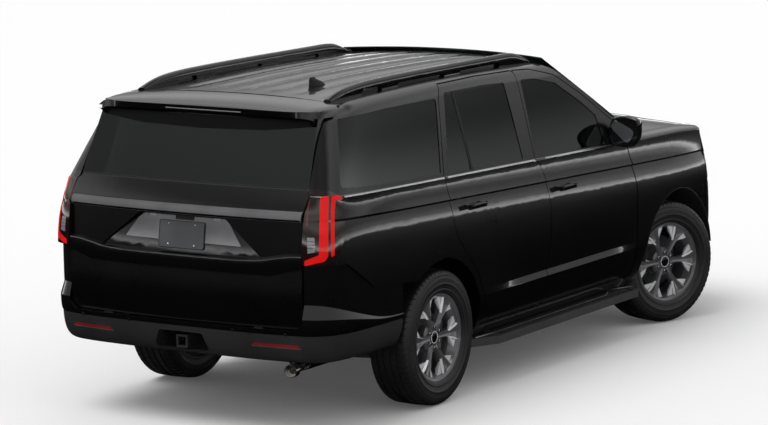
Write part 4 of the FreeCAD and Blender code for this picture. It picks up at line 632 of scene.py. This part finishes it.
def studs(name, places, radius, top, sides, material, body, depth=0.02):
    """Domed heads, all of one size, as one piece. Each place is (centre, axis)."""
    verts = []
    faces = []
    rings = [
        (radius, top - depth), (radius, top - radius * 0.25), (radius * 0.78, top - radius * 0.02),
        (radius * 0.4, top),
    ]
    for spot, axis in places:
        across, up = across_and_up(axis)
        start = len(verts)
        for r, along in rings:
            for k in range(sides):
                turn = 2 * math.pi * k / sides
                verts.append(spot + axis * along + (across * math.cos(turn) + up * math.sin(turn)) * r)
        for ring in range(len(rings) - 1):
            a = start + ring * sides
            for k in range(sides):
                m = (k + 1) % sides
                faces.append((a + k, a + m, a + sides + m, a + sides + k))
        faces.append(tuple(range(start, start + sides)))
        faces.append(tuple(range(start + (len(rings) - 1) * sides, start + len(rings) * sides)))
    made(name, verts, faces, material, body, smooth=30)


# Wheels and tyres. Each pair in a profile is (radius, along the axle)

TREAD_BLOCKS = 66
BLOCK_RINGS = (0.0, 0.74, 0.78, 0.96)  # shares of a block's length at which its four rings stand
SHOULDER_FOOT = 0.3735
SHOULDER_START = 0.075
SHOULDER_GROOVE = 0.0055
SHOULDER_EDGE_GROOVE = 0.003
RIB_FOOT = 0.4
RIB_START = 0.02
RIB_GROOVE = 0.0035
TYRE_SIDE = [
    (0.2545, 0.108), (0.262, 0.116), (0.2685, 0.1235), (0.2725, 0.1262), (0.281, 0.1272), (0.284, 0.1312),
    (0.288, 0.1318), (0.292, 0.1298), (0.305, 0.1325), (0.32, 0.1352), (0.3215, 0.1362), (0.3235, 0.1353),
    (0.336, 0.1358), (0.352, 0.1345), (0.3535, 0.1354), (0.3555, 0.1342), (0.366, 0.132), (0.372, 0.1318),
    (0.3735, 0.129), (0.384, 0.1255), (0.3925, 0.1205), (0.3985, 0.1125), (0.4012, 0.104), (0.4026, 0.094),
    (0.4034, 0.0735), (0.3955, 0.0722), (0.3957, 0.0645), (0.4037, 0.0632),
    (0.4046, 0.0285), (0.3965, 0.0272), (0.3967, 0.0195), (0.4047, 0.0182),
]
TYRE_PROFILE = TYRE_SIDE + [(TYRE_RADIUS, 0.0)] + [(radius, -along) for radius, along in reversed(TYRE_SIDE)]

# Rings of a wheel: name, profile, steps, finish, and whether the profile closes on itself
WHEEL_RINGS = [
    ("rim_lip", [(0.262, 0.1145), (0.2665, 0.1172), (0.2704, 0.1168), (0.2708, 0.112), (0.262, 0.110)],
     96, "machined_and_highlight", True),
    # Near-black sleeve inside the rim: the barrel's dark paint with painted shade
    ("barrel_shade", [(0.2355, -0.055), (0.2348, -0.055), (0.2345, 0.052), (0.2445, 0.1), (0.2455, 0.1),
                      (0.2356, 0.051)], 72, "dark_paint_and_shade", True),
    # Brake disc face, its iron darkened with painted shade
    ("disc_face", [(0.098, -0.001), (0.171, -0.001), (0.1718, 0.0003), (0.1708, 0.001), (0.0985, 0.001),
                   (0.0975, 0.0002)], 72, "disc_iron_and_shade", True),
    ("hub_cap", [(0.0, 0.0905), (0.018, 0.0903), (0.028, 0.0892), (0.0325, 0.0868), (0.0335, 0.084), (0.0, 0.084)],
     40, "gloss_black", False),
    ("cap_ring", [(0.0335, 0.0845), (0.0335, 0.0882), (0.0348, 0.0892), (0.0362, 0.0882), (0.0362, 0.0845)],
     40, "machined_and_highlight", True),
]
# Disc behind the spokes in near black: painted shade that closes the view through the wheel's pockets
DUST_SHIELD = [
    (0.098, -0.048), (0.221, -0.048), (0.2245, -0.044), (0.2232, -0.043), (0.2205, -0.0462), (0.098, -0.0462),
]
NUT_CIRCLE = 0.062

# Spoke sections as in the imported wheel: distance from the axle, half width, half crest, shoulder and top
SPOKE_ENDS = [
    (0.150, 0.0215, 0.0137, 0.0856, 0.0996), (0.214, 0.043, 0.032, 0.090, 0.104),
    (0.2445, 0.059, 0.049, 0.0916, 0.1056),
]
SPOKE_FACES = [
    (0, 1, 3, 2), (2, 3, 5, 4), (6, 8, 9, 7), (8, 10, 11, 9), (0, 2, 8, 6), (2, 4, 10, 8), (1, 7, 9, 3), (3, 9, 11, 5),
    (0, 6, 7, 1), (4, 5, 11, 10),
]

# Wings of a spoke where it meets the rim: distance from the axle, across the spoke, and height on the axle
WING = [(0.163, 0.0225, 0.0885), (0.197, 0.0630, 0.0700), (0.2195, 0.1000, 0.0885), (0.2365, 0.0580, 0.0925)]
WING_DEPTH = 0.009
WING_FACES = [(0, 3, 2), (0, 2, 1), (4, 6, 7), (4, 5, 6)] + BOX_FACES[2:]


def wheel_axis(corner):
    """Outward direction of a wheel's axle at rest."""
    turn = STEER_REST if corner.startswith("front") else 0.0
    return Vector((math.cos(turn), -math.sin(turn), 0)) * WHEEL_SIDES[corner]


def wheel_centre(corner):
    """Middle of the tyre, at the axle's height."""
    low, high = (Vector(c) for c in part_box("tyre_" + corner))
    centre = (low + high) / 2
    centre.z = TYRE_RADIUS
    return centre


def tread_cut(i, k, radius, along):
    """Angle, radius and place of a tyre's vertex: shoulder blocks and ribs stand in turn along the tread."""
    nominal, place = TYRE_PROFILE[k]
    tread, part = divmod(i, len(BLOCK_RINGS))
    gap = 2 * math.pi / TREAD_BLOCKS
    turn = (tread + BLOCK_RINGS[part]) * gap
    if nominal > SHOULDER_FOOT and abs(place) > SHOULDER_START:
        if part >= 2:
            radius -= SHOULDER_GROOVE if radius > 0.39 else SHOULDER_EDGE_GROOVE
        if along < 0:
            turn += gap * 0.5
        turn += gap * 0.28 * (abs(along) - 0.09) / 0.04
    elif nominal > RIB_FOOT and RIB_START < abs(place) < SHOULDER_START:
        turn += gap * (0.3 if along > 0 else 0.8)
        if part >= 2:
            radius -= RIB_GROOVE
    return turn, radius, along


def spoke_flanks(axis):
    """Outward direction along a spoke and sideways direction, for both flanks of each spoke."""
    forward = UP.cross(axis).normalized()
    flanks = []
    for i in range(SPOKES):
        turn = math.pi * i / (SPOKES / 2)
        out = forward * math.cos(turn) + UP * math.sin(turn)
        along = UP * math.cos(turn) - forward * math.sin(turn)
        flanks += [(out, -along), (out, along)]
    return flanks


def spoke_trim(corner, centre, axis, body):
    """Machined facets on the spokes' wide ends, and wings that widen them into the rim, in bright finishes that add a
    painted highlight to the metal's own brightness.
    """
    facets = []
    wings = []
    for out, across in spoke_flanks(axis):
        verts = []
        for rise in (0.0007, -0.0008):
            for reach, half, crest, shoulder, top in SPOKE_ENDS:
                verts.append(centre + out * reach + across * (crest + 0.001) + axis * (top + rise))
                verts.append(centre + out * reach + across * (half - 0.001) + axis * (shoulder + 0.0013 + rise))
        facets.append((verts, SPOKE_FACES))
        verts = []
        for sink in (0.0, WING_DEPTH):
            for reach, side, height in WING:
                verts.append(centre + out * reach + across * side + axis * (height - sink))
        wings.append((verts, WING_FACES))
    joined("spoke_faces_" + corner, facets, "machined_and_highlight", body, bevel=0.0004, smooth=20)
    joined("spoke_wings_" + corner, wings, "facet_and_highlight", body, bevel=0.0012, smooth=15)


def tyres_and_wheels():
    """Tread, rim lip, barrel in dark paint and painted shade, brake disc darkened with painted shade, cap, dust shield
    in painted shade, spoke facets with painted highlight and nuts of each corner.
    """
    for corner in WHEEL_SIDES:
        body = "wheel_" + corner
        centre = wheel_centre(corner)
        axis = wheel_axis(corner)
        tread = turned("tread_" + corner, centre, axis, TYRE_PROFILE, TREAD_BLOCKS * len(BLOCK_RINGS), "tyre", body,
                       cut=tread_cut, smooth=32)
        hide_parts("tyre_" + corner)
        for name, profile, steps, material, closed in WHEEL_RINGS:
            turned(name + "_" + corner, centre, axis, profile, steps, material, body, closed=closed)
        # Dust shield in near black, painted shade behind the spokes
        turned("dust_shield_" + corner, centre, axis, DUST_SHIELD, 72, "dark_paint_and_shade", KNUCKLE_BODIES[corner])
        spoke_trim(corner, centre, axis, body)
        side, rise = across_and_up(axis)
        nuts = []
        for i in range(SPOKES):
            turn = math.pi * (i + 0.5) / (SPOKES / 2)
            nuts.append((centre + (side * math.cos(turn) + rise * math.sin(turn)) * NUT_CIRCLE, axis))
        studs("wheel_nuts_" + corner, nuts, 0.0128, 0.0955, 6, "nut_chrome", body)


# Outlines of the tail lamp's inner forms, in pixels of the photograph
LAMP_BAR = [
    (320.4, 197.2, 1.5), (329.0, 196.0, 0.5), (328.3, 213.2), (328.2, 256.6, 2), (324.5, 261.7, 2),
    (304.6, 266.2, 0.4), (304.6, 260.9, 0.4), (318.8, 255.3, 1), (319.3, 232.4), (319.7, 206.9),
]
LAMP_THIN_BAR = [
    (331.9, 195.9, 0.4), (339.4, 194.6, 0.5), (343.0, 199.4, 0.4), (335.6, 200.4, 1), (334.4, 213.2),
    (334.6, 255.0, 0.6), (331.9, 257.4, 0.5), (331.0, 254.7), (330.6, 214.5), (331.2, 200.5),
]
LAMP_LENS = [(306.9, 237.6, 0.5), (314.4, 238.0, 0.5), (315.3, 252.4, 0.5), (307.5, 253.8, 0.5)]
LAMP_GLOW = [(306.2, 226.0), (306.9, 212.0), (309.4, 201.4), (310.2, 200.6), (308.0, 212.2), (307.3, 226.0)]
LAMP_SEAM = [(304.3, 213.6), (319.0, 214.1), (338.0, 214.3), (347.0, 214.2)]

# Name, outline, lift, depth, finish, step in pixels and bevel of each form
LAMP_FORMS = [
    ("tail_bar", LAMP_BAR, 0.0012, 0.003, "lamp_red", 2.0, 0.0008),
    ("tail_thin_bar", LAMP_THIN_BAR, 0.0012, 0.003, "lamp_red", 1.6, 0.0006),
    ("reverse_lens", LAMP_LENS, 0.001, 0.003, "lamp_white", 1.5, 0.0006),
    ("tail_glow", LAMP_GLOW, 0.0006, 0.002, "reflector", 1.0, 0),
]


def tail_lamps():
    """Red bars, white lens and seam of the lamps at the tail."""
    skin = Skin("tail_lamps")
    for name, outline, lift, depth, material, step, bevel in LAMP_FORMS:
        patch(name, "photo", skin, outline, lift, depth, material, "body", step=step, sides=2, bevel=bevel)
    for k in range(3):
        rib = [(306.6 + 0.2 * k, 241.6 + 3.4 * k), (315.0, 242.0 + 3.4 * k)]
        strip("lens_rib_%d" % k, "photo", skin, rib, 0.003, 0.0016, "gloss_black", "body", step=3.0, sides=2,
              sink=0.0005)
    strip("lamp_seam", "photo", skin, LAMP_SEAM, 0.0022, 0.0006, "gloss_black", "body", step=2.0, sides=2, sink=0.001)


# Outlines on the gates, seen from behind
GATE_BAR = [(-0.783, 1.2435, 0.003), (0.798, 1.2435, 0.003), (0.798, 1.2995, 0.004), (-0.783, 1.2995, 0.004)]
BAY_PANEL = [(-0.398, 1.086, 0.004), (0.402, 1.078, 0.004), (0.296, 1.2275, 0.02), (-0.289, 1.2275, 0.02)]
# Dark band at the top of the gate glass with a curved lower edge: a painted reflection of the spoiler's dark underside
SPOILER_REFLECTION_OUTLINE = [
    (-0.737, 1.781, 0.004), (0.737, 1.781, 0.004), (0.728, 1.748, 0.02), (0.42, 1.716, 0.3), (0, 1.708, 0.3),
    (-0.42, 1.716, 0.3), (-0.728, 1.748, 0.02),
]
TAILGATE_SEAL = [(-0.792, 0.966), (-0.61, 0.915, 0.12), (0.61, 0.915, 0.12), (0.792, 0.966)]
TAIL_REFLECTOR = [(0.480, 0.5300, 0.003), (0.500, 0.5460, 0.003), (0.772, 0.5460, 0.004), (0.784, 0.5280, 0.003)]


def heads_on(skin, spots):
    """Places and directions for studs at (x, z) spots, seen from behind."""
    return [skin.seat("back", x, z) for x, z in spots]


def gate_trim():
    """Bar, blank plate with its screws, handle pocket, seals and high-mount lamp of the upper gate."""
    skin = Skin("liftgate")
    patch("gate_bar", "back", skin, GATE_BAR, 0.0012, 0.004, "satin_black", "liftgate", step=0.016)
    patch("plate", "back", skin, rectangle(-0.1525, 1.044, 0.1525, 1.194, 0.012), 0.0075, 0.003, "plate_blank",
          "liftgate", step=0.05, bevel=0.0006)
    strip("plate_frame", "back", skin, rectangle(-0.154, 1.0425, 0.154, 1.1955, 0.013), 0.006, 0.0092, "gloss_black",
          "liftgate", closed=True)
    screws = heads_on(skin, [(x, z) for x in (-0.09, 0.09) for z in (1.062, 1.178)])
    studs("plate_screws", screws, 0.0055, 0.0098, 12, "nut_chrome", "liftgate", depth=0.006)
    patch("handle_pad", "back", skin, rectangle(-0.05, 1.203, 0.074, 1.226, 0.006), 0.006, 0.012, "black_plastic",
          "liftgate", step=0.02, bevel=0.002)
    for side, x in (("left", -0.21), ("right", 0.232)):
        patch("plate_light_" + side, "back", skin, rectangle(x - 0.024, 1.212, x + 0.024, 1.226, 0.004), 0.003, 0.006,
              "lamp_white", "liftgate", step=0.02)
    strip("high_lamp", "back", skin, [(-0.26, 1.8105), (0.26, 1.8105)], 0.006, 0.0012, "lamp_white", "liftgate",
          step=0.03)
    patch("bay_panel", "back", skin, BAY_PANEL, 0.0015, 0.003, "bay_metal", "liftgate", step=0.02, bevel=0.0008)
    pane = Skin("liftgate_glass")
    strip("gate_glass_seal", "back", pane, [(-0.772, 1.4185), (0.772, 1.4185)], 0.007, 0.0008, "rubber", "liftgate")
    # Painted reflection of the spoiler laid on the top of the glass
    patch("painted_spoiler_reflection", "back", pane, SPOILER_REFLECTION_OUTLINE, 0.0004, 0.001, "spoiler_reflection_black", "liftgate", step=0.05, bevel=0)


def tail_trim():
    """Lower gate's seal, reflectors and parking sensors at the tail."""
    strip("tailgate_seal", "back", Skin("tailgate"), TAILGATE_SEAL, 0.034, 0.006, "rubber", "tailgate", step=0.03,
          lift=-0.024, arch=0.3)
    skin = Skin("rear_valance", "rear_bumper")
    patch("tail_reflector", "back", skin, TAIL_REFLECTOR, 0.0018, 0.004, "reflector", "body", step=0.02, sides=2)
    strip("reflector_edge", "back", skin, [(0.478, 0.5262), (0.785, 0.5245)], 0.0035, 0.0015, "satin_trim", "body",
          sides=2)
    sensors = heads_on(skin, [(x, 0.603) for x in (-0.70, -0.36, 0.36, 0.70)])
    studs("parking_sensors", sensors, 0.0095, 0.0012, 20, "gloss_black", "body", depth=0.004)


# Belt line, a bright strip standing in for the painted highlight on the body-colour belt shelf: the node and body of
# each stretch, its name, and its ends along Y
BELT_STRETCHES = [
    ("front_door_right", "front_door_right", "front_door", -0.066, 0.968),
    ("rear_door_right", "rear_door_right", "rear_door", -1.260, -0.091),
    ("body_side_right", "body", "body_side", -2.372, -1.300),
]
HANDLES = [("front_door_right", "front", 0.113, 1.112), ("rear_door_right", "rear", -1.019, 1.147)]
MIRROR_GLASS = [(0.966, 1.452, 0.02), (1.118, 1.378, 0.035), (1.064, 1.290, 0.03), (0.938, 1.398, 0.03)]
STEP_RIBS = 7
BELT_HEIGHT = 1.304
BELT_FALL = 0.026


def belt_height(y):
    """Height of the middle of the bright strip that paints the belt highlight."""
    return BELT_HEIGHT - BELT_FALL * y


def side_trim():
    """Rail webs, bright strips that paint the belt highlight, handle grips, window divider, mirror glass, filler flap,
    step ribs and a bright strip that paints a highlight along each step's edge.
    """
    strip("rail_web", "top", Skin("roof_panel"), [(0.652, -1.78), (0.656, -0.08)], 0.016, 0.046, "gloss_black", "body",
          step=0.1, sides=2, arch=0.1)
    # Bright strips laid where the belt shelf catches the light: a painted highlight
    for packed, body, name, low, high in BELT_STRETCHES:
        strip("belt_" + name, "side", Skin(packed), [(low, belt_height(low)), (high, belt_height(high))], 0.016, 0.004,
              "belt_highlight_metal", body, step=0.06, sides=2)
    for packed, name, middle, height in HANDLES:
        strip("handle_grip_" + name, "side", Skin(packed), [(middle - 0.09, height), (middle + 0.092, height)],
              0.027, 0.007, "gloss_black", packed, step=0.02, sides=2, arch=0.8, taper=0.05)
    strip("window_divider", "side", Skin("rear_door_glass_right", "rear_door_right"),
          [(-0.946, 1.345), (-0.930, 1.800)], 0.026, 0.003, "rubber", "rear_door_right", step=0.06, sides=2, arch=0.2)
    patch("mirror_glass", "back", Skin("mirror_right"), MIRROR_GLASS, 0.0012, 0.002, "mirror_glass",
          "front_door_right", step=0.02, sides=2, bevel=0.0005)
    strip("filler_flap", "side", Skin("body_side_right"), rectangle(-2.06, 1.035, -1.90, 1.15, 0.02), 0.0035, 0.0002,
          "rubber", "body", step=0.02, sides=-1, closed=True, sink=0.001)
    boards = Skin("running_boards")
    for k in range(STEP_RIBS):
        x = 0.915 + k * 0.0125
        strip("step_rib_%d" % k, "top", boards, [(x, -0.80), (x, 1.02)], 0.006, 0.0016, "rubber", "body", step=0.3,
              sides=2, arch=0.3)
    # Bright strip along each step's lower edge: a painted highlight
    strip("painted_step_highlight", "side", boards, [(-0.90, 0.318), (1.14, 0.318)], 0.006, 0.0008, "satin_trim", "body", step=0.2,
          sides=2)


# Seats: name, middle across and along, width, back's height, floor's height, cushion's height, places, head rests
FLOOR = 0.506
LOAD_FLOOR = 0.714
SEATS = [
    ("front_right", 0.4, 0.33, 0.52, 0.62, FLOOR, 0.254, 1, 1),
    ("front_left", -0.4, 0.33, 0.52, 0.62, FLOOR, 0.254, 1, 1),
    ("second_row", 0.0, -0.6, 1.24, 0.60, FLOOR, 0.254, 3, 2),
    ("third_row", 0.0, -1.56, 0.96, 0.52, LOAD_FLOOR, 0.154, 2, 2),
]
CUSHION_DEPTH = 0.52
CUSHION_THICKNESS = 0.10
CUSHION_LEAN = math.radians(4)
BACK_THICKNESS = 0.115
BACK_LEAN = math.radians(90 + 11.5)
BACK_START = 0.04
SEAT_CROWN = 0.012
HEAD_REST = (0.25, 0.155, 0.082)
HEAD_LEAN = math.radians(94)
SEAMS = (-0.58, 0.58)
CROSS_SEAMS = (-0.45, 0.3)
SEAT_CUTS = 13
FRAME_SHARE = 0.35
FRAME_HALF_DEPTH = 0.2
POST_HALF_GAP = 0.06


def soft_block(centre, size, lean, seams, crown):
    """Rounded, crowned block of foam with sewn channels. seams are shares across the width."""
    build = bmesh.new()
    bmesh.ops.create_cube(build, size=2.0)
    bmesh.ops.subdivide_edges(build, edges=build.edges, cuts=SEAT_CUTS, use_grid_fill=True)
    turn = Matrix.Rotation(lean, 3, "X")
    verts = []
    for v in build.verts:
        x, y, z = v.co
        bulge = 1 - 0.5 * (abs(x) ** 5 + abs(y) ** 5) * 0.16
        round_x = x * (1 - 0.10 * max(abs(y), abs(z)) ** 6)
        round_y = y * (1 - 0.10 * max(abs(x), abs(z)) ** 6)
        top = z * (1 - 0.16 * max(abs(x), abs(y)) ** 5)
        lift = crown * (1 - x * x) * (1 - y * y) if z > 0.2 else 0.0
        for seam in seams:
            lift -= 0.011 * math.exp(-((x - seam) / 0.05) ** 2) * max(0.0, min(1.0, (z + 0.1) * 2))
        if abs(x) < 0.62 and z > 0.5:
            for seam in CROSS_SEAMS:
                lift -= 0.006 * math.exp(-((y - seam) / 0.06) ** 2)
        point = Vector((round_x * size[0] / 2, round_y * size[1] / 2, top * size[2] / 2 * bulge + lift))
        verts.append(turn @ point + Vector(centre))
    faces = [tuple(v.index for v in f.verts) for f in build.faces]
    build.free()
    return verts, faces


def head_middles(x, width, heads):
    """Places across of a seat's head rests."""
    return (x,) if heads == 1 else (x - width * 0.28, x + width * 0.28)


def seat_parts(x, y, width, back_height, floor_z, cushion_height, places, heads):
    """Cushions, backs and head rests of one seat or bench."""
    z = floor_z + cushion_height
    top = z + BACK_START + back_height
    each = width / places
    parts = []
    for i in range(places):
        middle = x - width / 2 + each * (i + 0.5)
        cushion = (each * 0.985, CUSHION_DEPTH, CUSHION_THICKNESS)
        back = (each * 0.975, back_height * 0.985, BACK_THICKNESS)
        parts.append(soft_block((middle, y + 0.01, z + 0.068), cushion, CUSHION_LEAN, SEAMS, SEAT_CROWN))
        parts.append(soft_block((middle, y - 0.282, (z + 0.05 + top) / 2), back, BACK_LEAN, SEAMS, SEAT_CROWN))
    for middle in head_middles(x, width, heads):
        parts.append(soft_block((middle, y - 0.368, top + 0.092), HEAD_REST, HEAD_LEAN, (), SEAT_CROWN / 2))
    return parts


def seats():
    """Padded seats in the place of the plain ones, on their frames."""
    rows = [seat_parts(*facts) for _, *facts in SEATS]
    for name, parts, stood_for in (("front_seat_pads", rows[0] + rows[1], "front_seats"),
                                   ("rear_bench_pads", rows[2] + rows[3], "rear_seats")):
        pads = joined(name, parts, "upholstery", "body", smooth=60)
        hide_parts(stood_for)
    for name, x, y, width, back_height, floor_z, height, _, heads in SEATS:
        verts = []
        for z in (floor_z + 0.0005, floor_z + height + 0.02):
            verts += [(x + a * width * FRAME_SHARE, y + b * FRAME_HALF_DEPTH, z) for a, b in QUAD]
        made("seat_frame_" + name, verts, BOX_FACES, "cabin_plastic", "body", bevel=0.012)
        top = floor_z + height + BACK_START + back_height
        posts = []
        for middle in head_middles(x, width, heads):
            for s in (-1, 1):
                spot = Vector((middle + s * POST_HALF_GAP, y - 0.355, top + 0.035))
                posts.append((spot, Vector((0, -0.17, 1)).normalized()))
        studs("head_rest_posts_" + name, posts, 0.006, 0.0, 12, "nut_chrome", "body", depth=0.07)


# Cabin, in metres and degrees
WHEEL_HUB = Vector((-0.4, 0.585, 1.085))
COLUMN_TILT = math.radians(24)
RIM_RADIUS = 0.183
RIM_THICKNESS = 0.0155
BOSS = [(0.0, 0.022), (0.04, 0.02), (0.062, 0.008), (0.066, -0.02), (0.03, -0.05), (0.0, -0.05)]
# Door linings: door, name, ends along Y, and heights of the lower rear corner
LININGS = [("front_door_right", "front_door", -0.08, 0.98, 0.50), ("rear_door_right", "rear_door", -1.12, -0.16, 0.80)]


def steering_wheel():
    """Rim, boss and three spokes of the driver's wheel."""
    axis = Vector((0, -math.cos(COLUMN_TILT), math.sin(COLUMN_TILT)))
    ring = []
    for k in range(12):
        turn = 2 * math.pi * k / 12
        ring.append((RIM_RADIUS + RIM_THICKNESS * math.cos(turn), RIM_THICKNESS * math.sin(turn)))
    turned("steering_rim", WHEEL_HUB, axis, ring, 64, "leather", "body")
    turned("steering_boss", WHEEL_HUB, axis, BOSS, 40, "cabin_plastic", "body", closed=False)
    side = axis.cross(UP).normalized()
    down = axis.cross(side).normalized()
    if down.z > 0:
        down = -down
    bars = []
    for way in (side, -side, down):
        across = axis.cross(way).normalized()
        corners = []
        for reach, half in ((0.045, 0.026), (0.178, 0.017)):
            for a, b in QUAD:
                corners.append(WHEEL_HUB + way * reach + across * half * a + axis * (0.006 * b - 0.004))
        bars.append((corners, BOX_FACES))
    joined("steering_spokes", bars, "satin_trim", "body", bevel=0.004)


def cabin():
    """Steering wheel, screens and door linings."""
    steering_wheel()
    skin = Skin("dashboard")
    patch("centre_screen", "back", skin, rectangle(-0.13, 1.09, 0.16, 1.26, 0.012), 0.004, 0.006, "gloss_black", "body",
          step=0.06, bevel=0.002)
    patch("driver_dials", "back", skin, rectangle(-0.55, 1.13, -0.25, 1.25, 0.02), 0.003, 0.005, "gloss_black", "body",
          step=0.06, bevel=0.002)
    for door, name, low, high, bottom in LININGS:
        lining = Skin(door)
        outline = [(low, bottom, 0.06), (high, 0.50, 0.08), (high, 1.23, 0.05), (low, 1.25, 0.05)]
        patch("lining_" + name, "inside", lining, outline, 0.003, 0.004, "cabin_plastic", door, step=0.05, sides=2,
              bevel=0.0015)
        strip("armrest_" + name, "inside", lining, [(low + 0.12, 0.98), (high - 0.2, 0.985)], 0.075, 0.045, "leather",
              door, step=0.05, sides=2, arch=0.5, taper=0.06)


# Nose: lamp places on the right, profiles, wipers, louvres and the grille's edge
LAMP_PLACES = [(0.742, 2.395, 0.985), (0.852, 2.330, 0.985)]
LAMP_BOWL = [
    (0.0, -0.028), (0.018, -0.026), (0.036, -0.012), (0.043, 0.006), (0.046, 0.006), (0.046, -0.03), (0.0, -0.034),
]
LAMP_EYE = [(0.0, 0.012), (0.012, 0.0105), (0.021, 0.004), (0.024, -0.008), (0.024, -0.024), (0.0, -0.024)]
WIPERS = [("left", (-0.60, 1.285), (0.02, 1.195)), ("right", (-0.02, 1.405), (0.62, 1.20))]
LOUVRE_RIB = 0.006
LOUVRE_BOW = 0.10
LOUVRE_DEPTH = 0.012
GRILLE_EDGE = [(-0.655, 1.058, 0.05), (0.655, 1.058, 0.05), (0.60, 0.66, 0.08), (-0.60, 0.66, 0.08)]


def louvres(name, y, half, rise, rows):
    """Ribbed dark panel across the car behind an opening of the nose."""
    verts = []
    steps = 2 * rows
    for k in range(steps + 1):
        z = rise[0] + (rise[1] - rise[0]) * k / steps
        for x in (-half, -half / 2, 0.0, half / 2, half):
            verts.append((x, y + (LOUVRE_RIB if k % 2 else 0.0) - LOUVRE_BOW * x * x, z))
    front = len(verts)
    verts += [(x, deep - LOUVRE_DEPTH, z) for x, deep, z in verts]
    faces = []
    for k in range(steps):
        for c in range(4):
            a = k * 5 + c
            faces.append((a, a + 1, a + 6, a + 5))
            faces.append((front + a, front + a + 5, front + a + 6, front + a + 1))
    rim = [(k * 5, k * 5 + 5) for k in range(steps)] + [(k * 5 + 4, k * 5 + 9) for k in range(steps)]
    rim += [(c, c + 1) for c in range(4)] + [(steps * 5 + c, steps * 5 + c + 1) for c in range(4)]
    faces += [(a, b, b + front, a + front) for a, b in rim]
    made(name, verts, faces, "black_plastic", "body", smooth=20)


def nose():
    """Lamp insides, running lights, louvres, wipers and the grille's edge at the front."""
    for name, side in (("right", 1), ("left", -1)):
        for k, (x, y, z) in enumerate(LAMP_PLACES):
            for part, profile, steps, material in (("bowl", LAMP_BOWL, 40, "reflector_bright"),
                                                   ("eye", LAMP_EYE, 32, "lens")):
                turned("lamp_%s_%d_%s" % (part, k, name), (side * x, y, z), (side * 0.32, 1, 0), profile, steps,
                       material, "body", closed=False)
        path = [(side * 0.70, 0.885), (side * 0.93, 0.893, 0.02), (side * 0.945, 1.045)]
        strip("running_light_" + name, "front", Skin("headlamps"), path, 0.012, 0.003, "lamp_white", "body", step=0.02,
              arch=0.6)
    louvres("radiator_face", 2.365, 0.60, (0.625, 1.075), 30)
    louvres("intake_face", 2.425, 0.64, (0.350, 0.560), 14)
    for name, foot, tip in WIPERS:
        middle = ((foot[0] + tip[0]) / 2, (foot[1] + tip[1]) / 2 + 0.012, 0.3)
        strip("wiper_blade_" + name, "top", Skin("windscreen"), [foot, middle, tip], 0.014, 0.012, "rubber", "body",
              step=0.05, lift=0.001, arch=0.75, taper=0.08)
    strip("grille_edge", "front", Skin("grille", "front_bumper"), GRILLE_EDGE, 0.016, 0.006, "satin_trim", "body",
          step=0.03, closed=True)


bpy.context.scene.view_settings.view_transform = "Standard"
aim_camera()
studio()
floor()
dress_nodes()
tyres_and_wheels()
tail_lamps()
gate_trim()
tail_trim()
side_trim()
seats()
cabin()
nose()
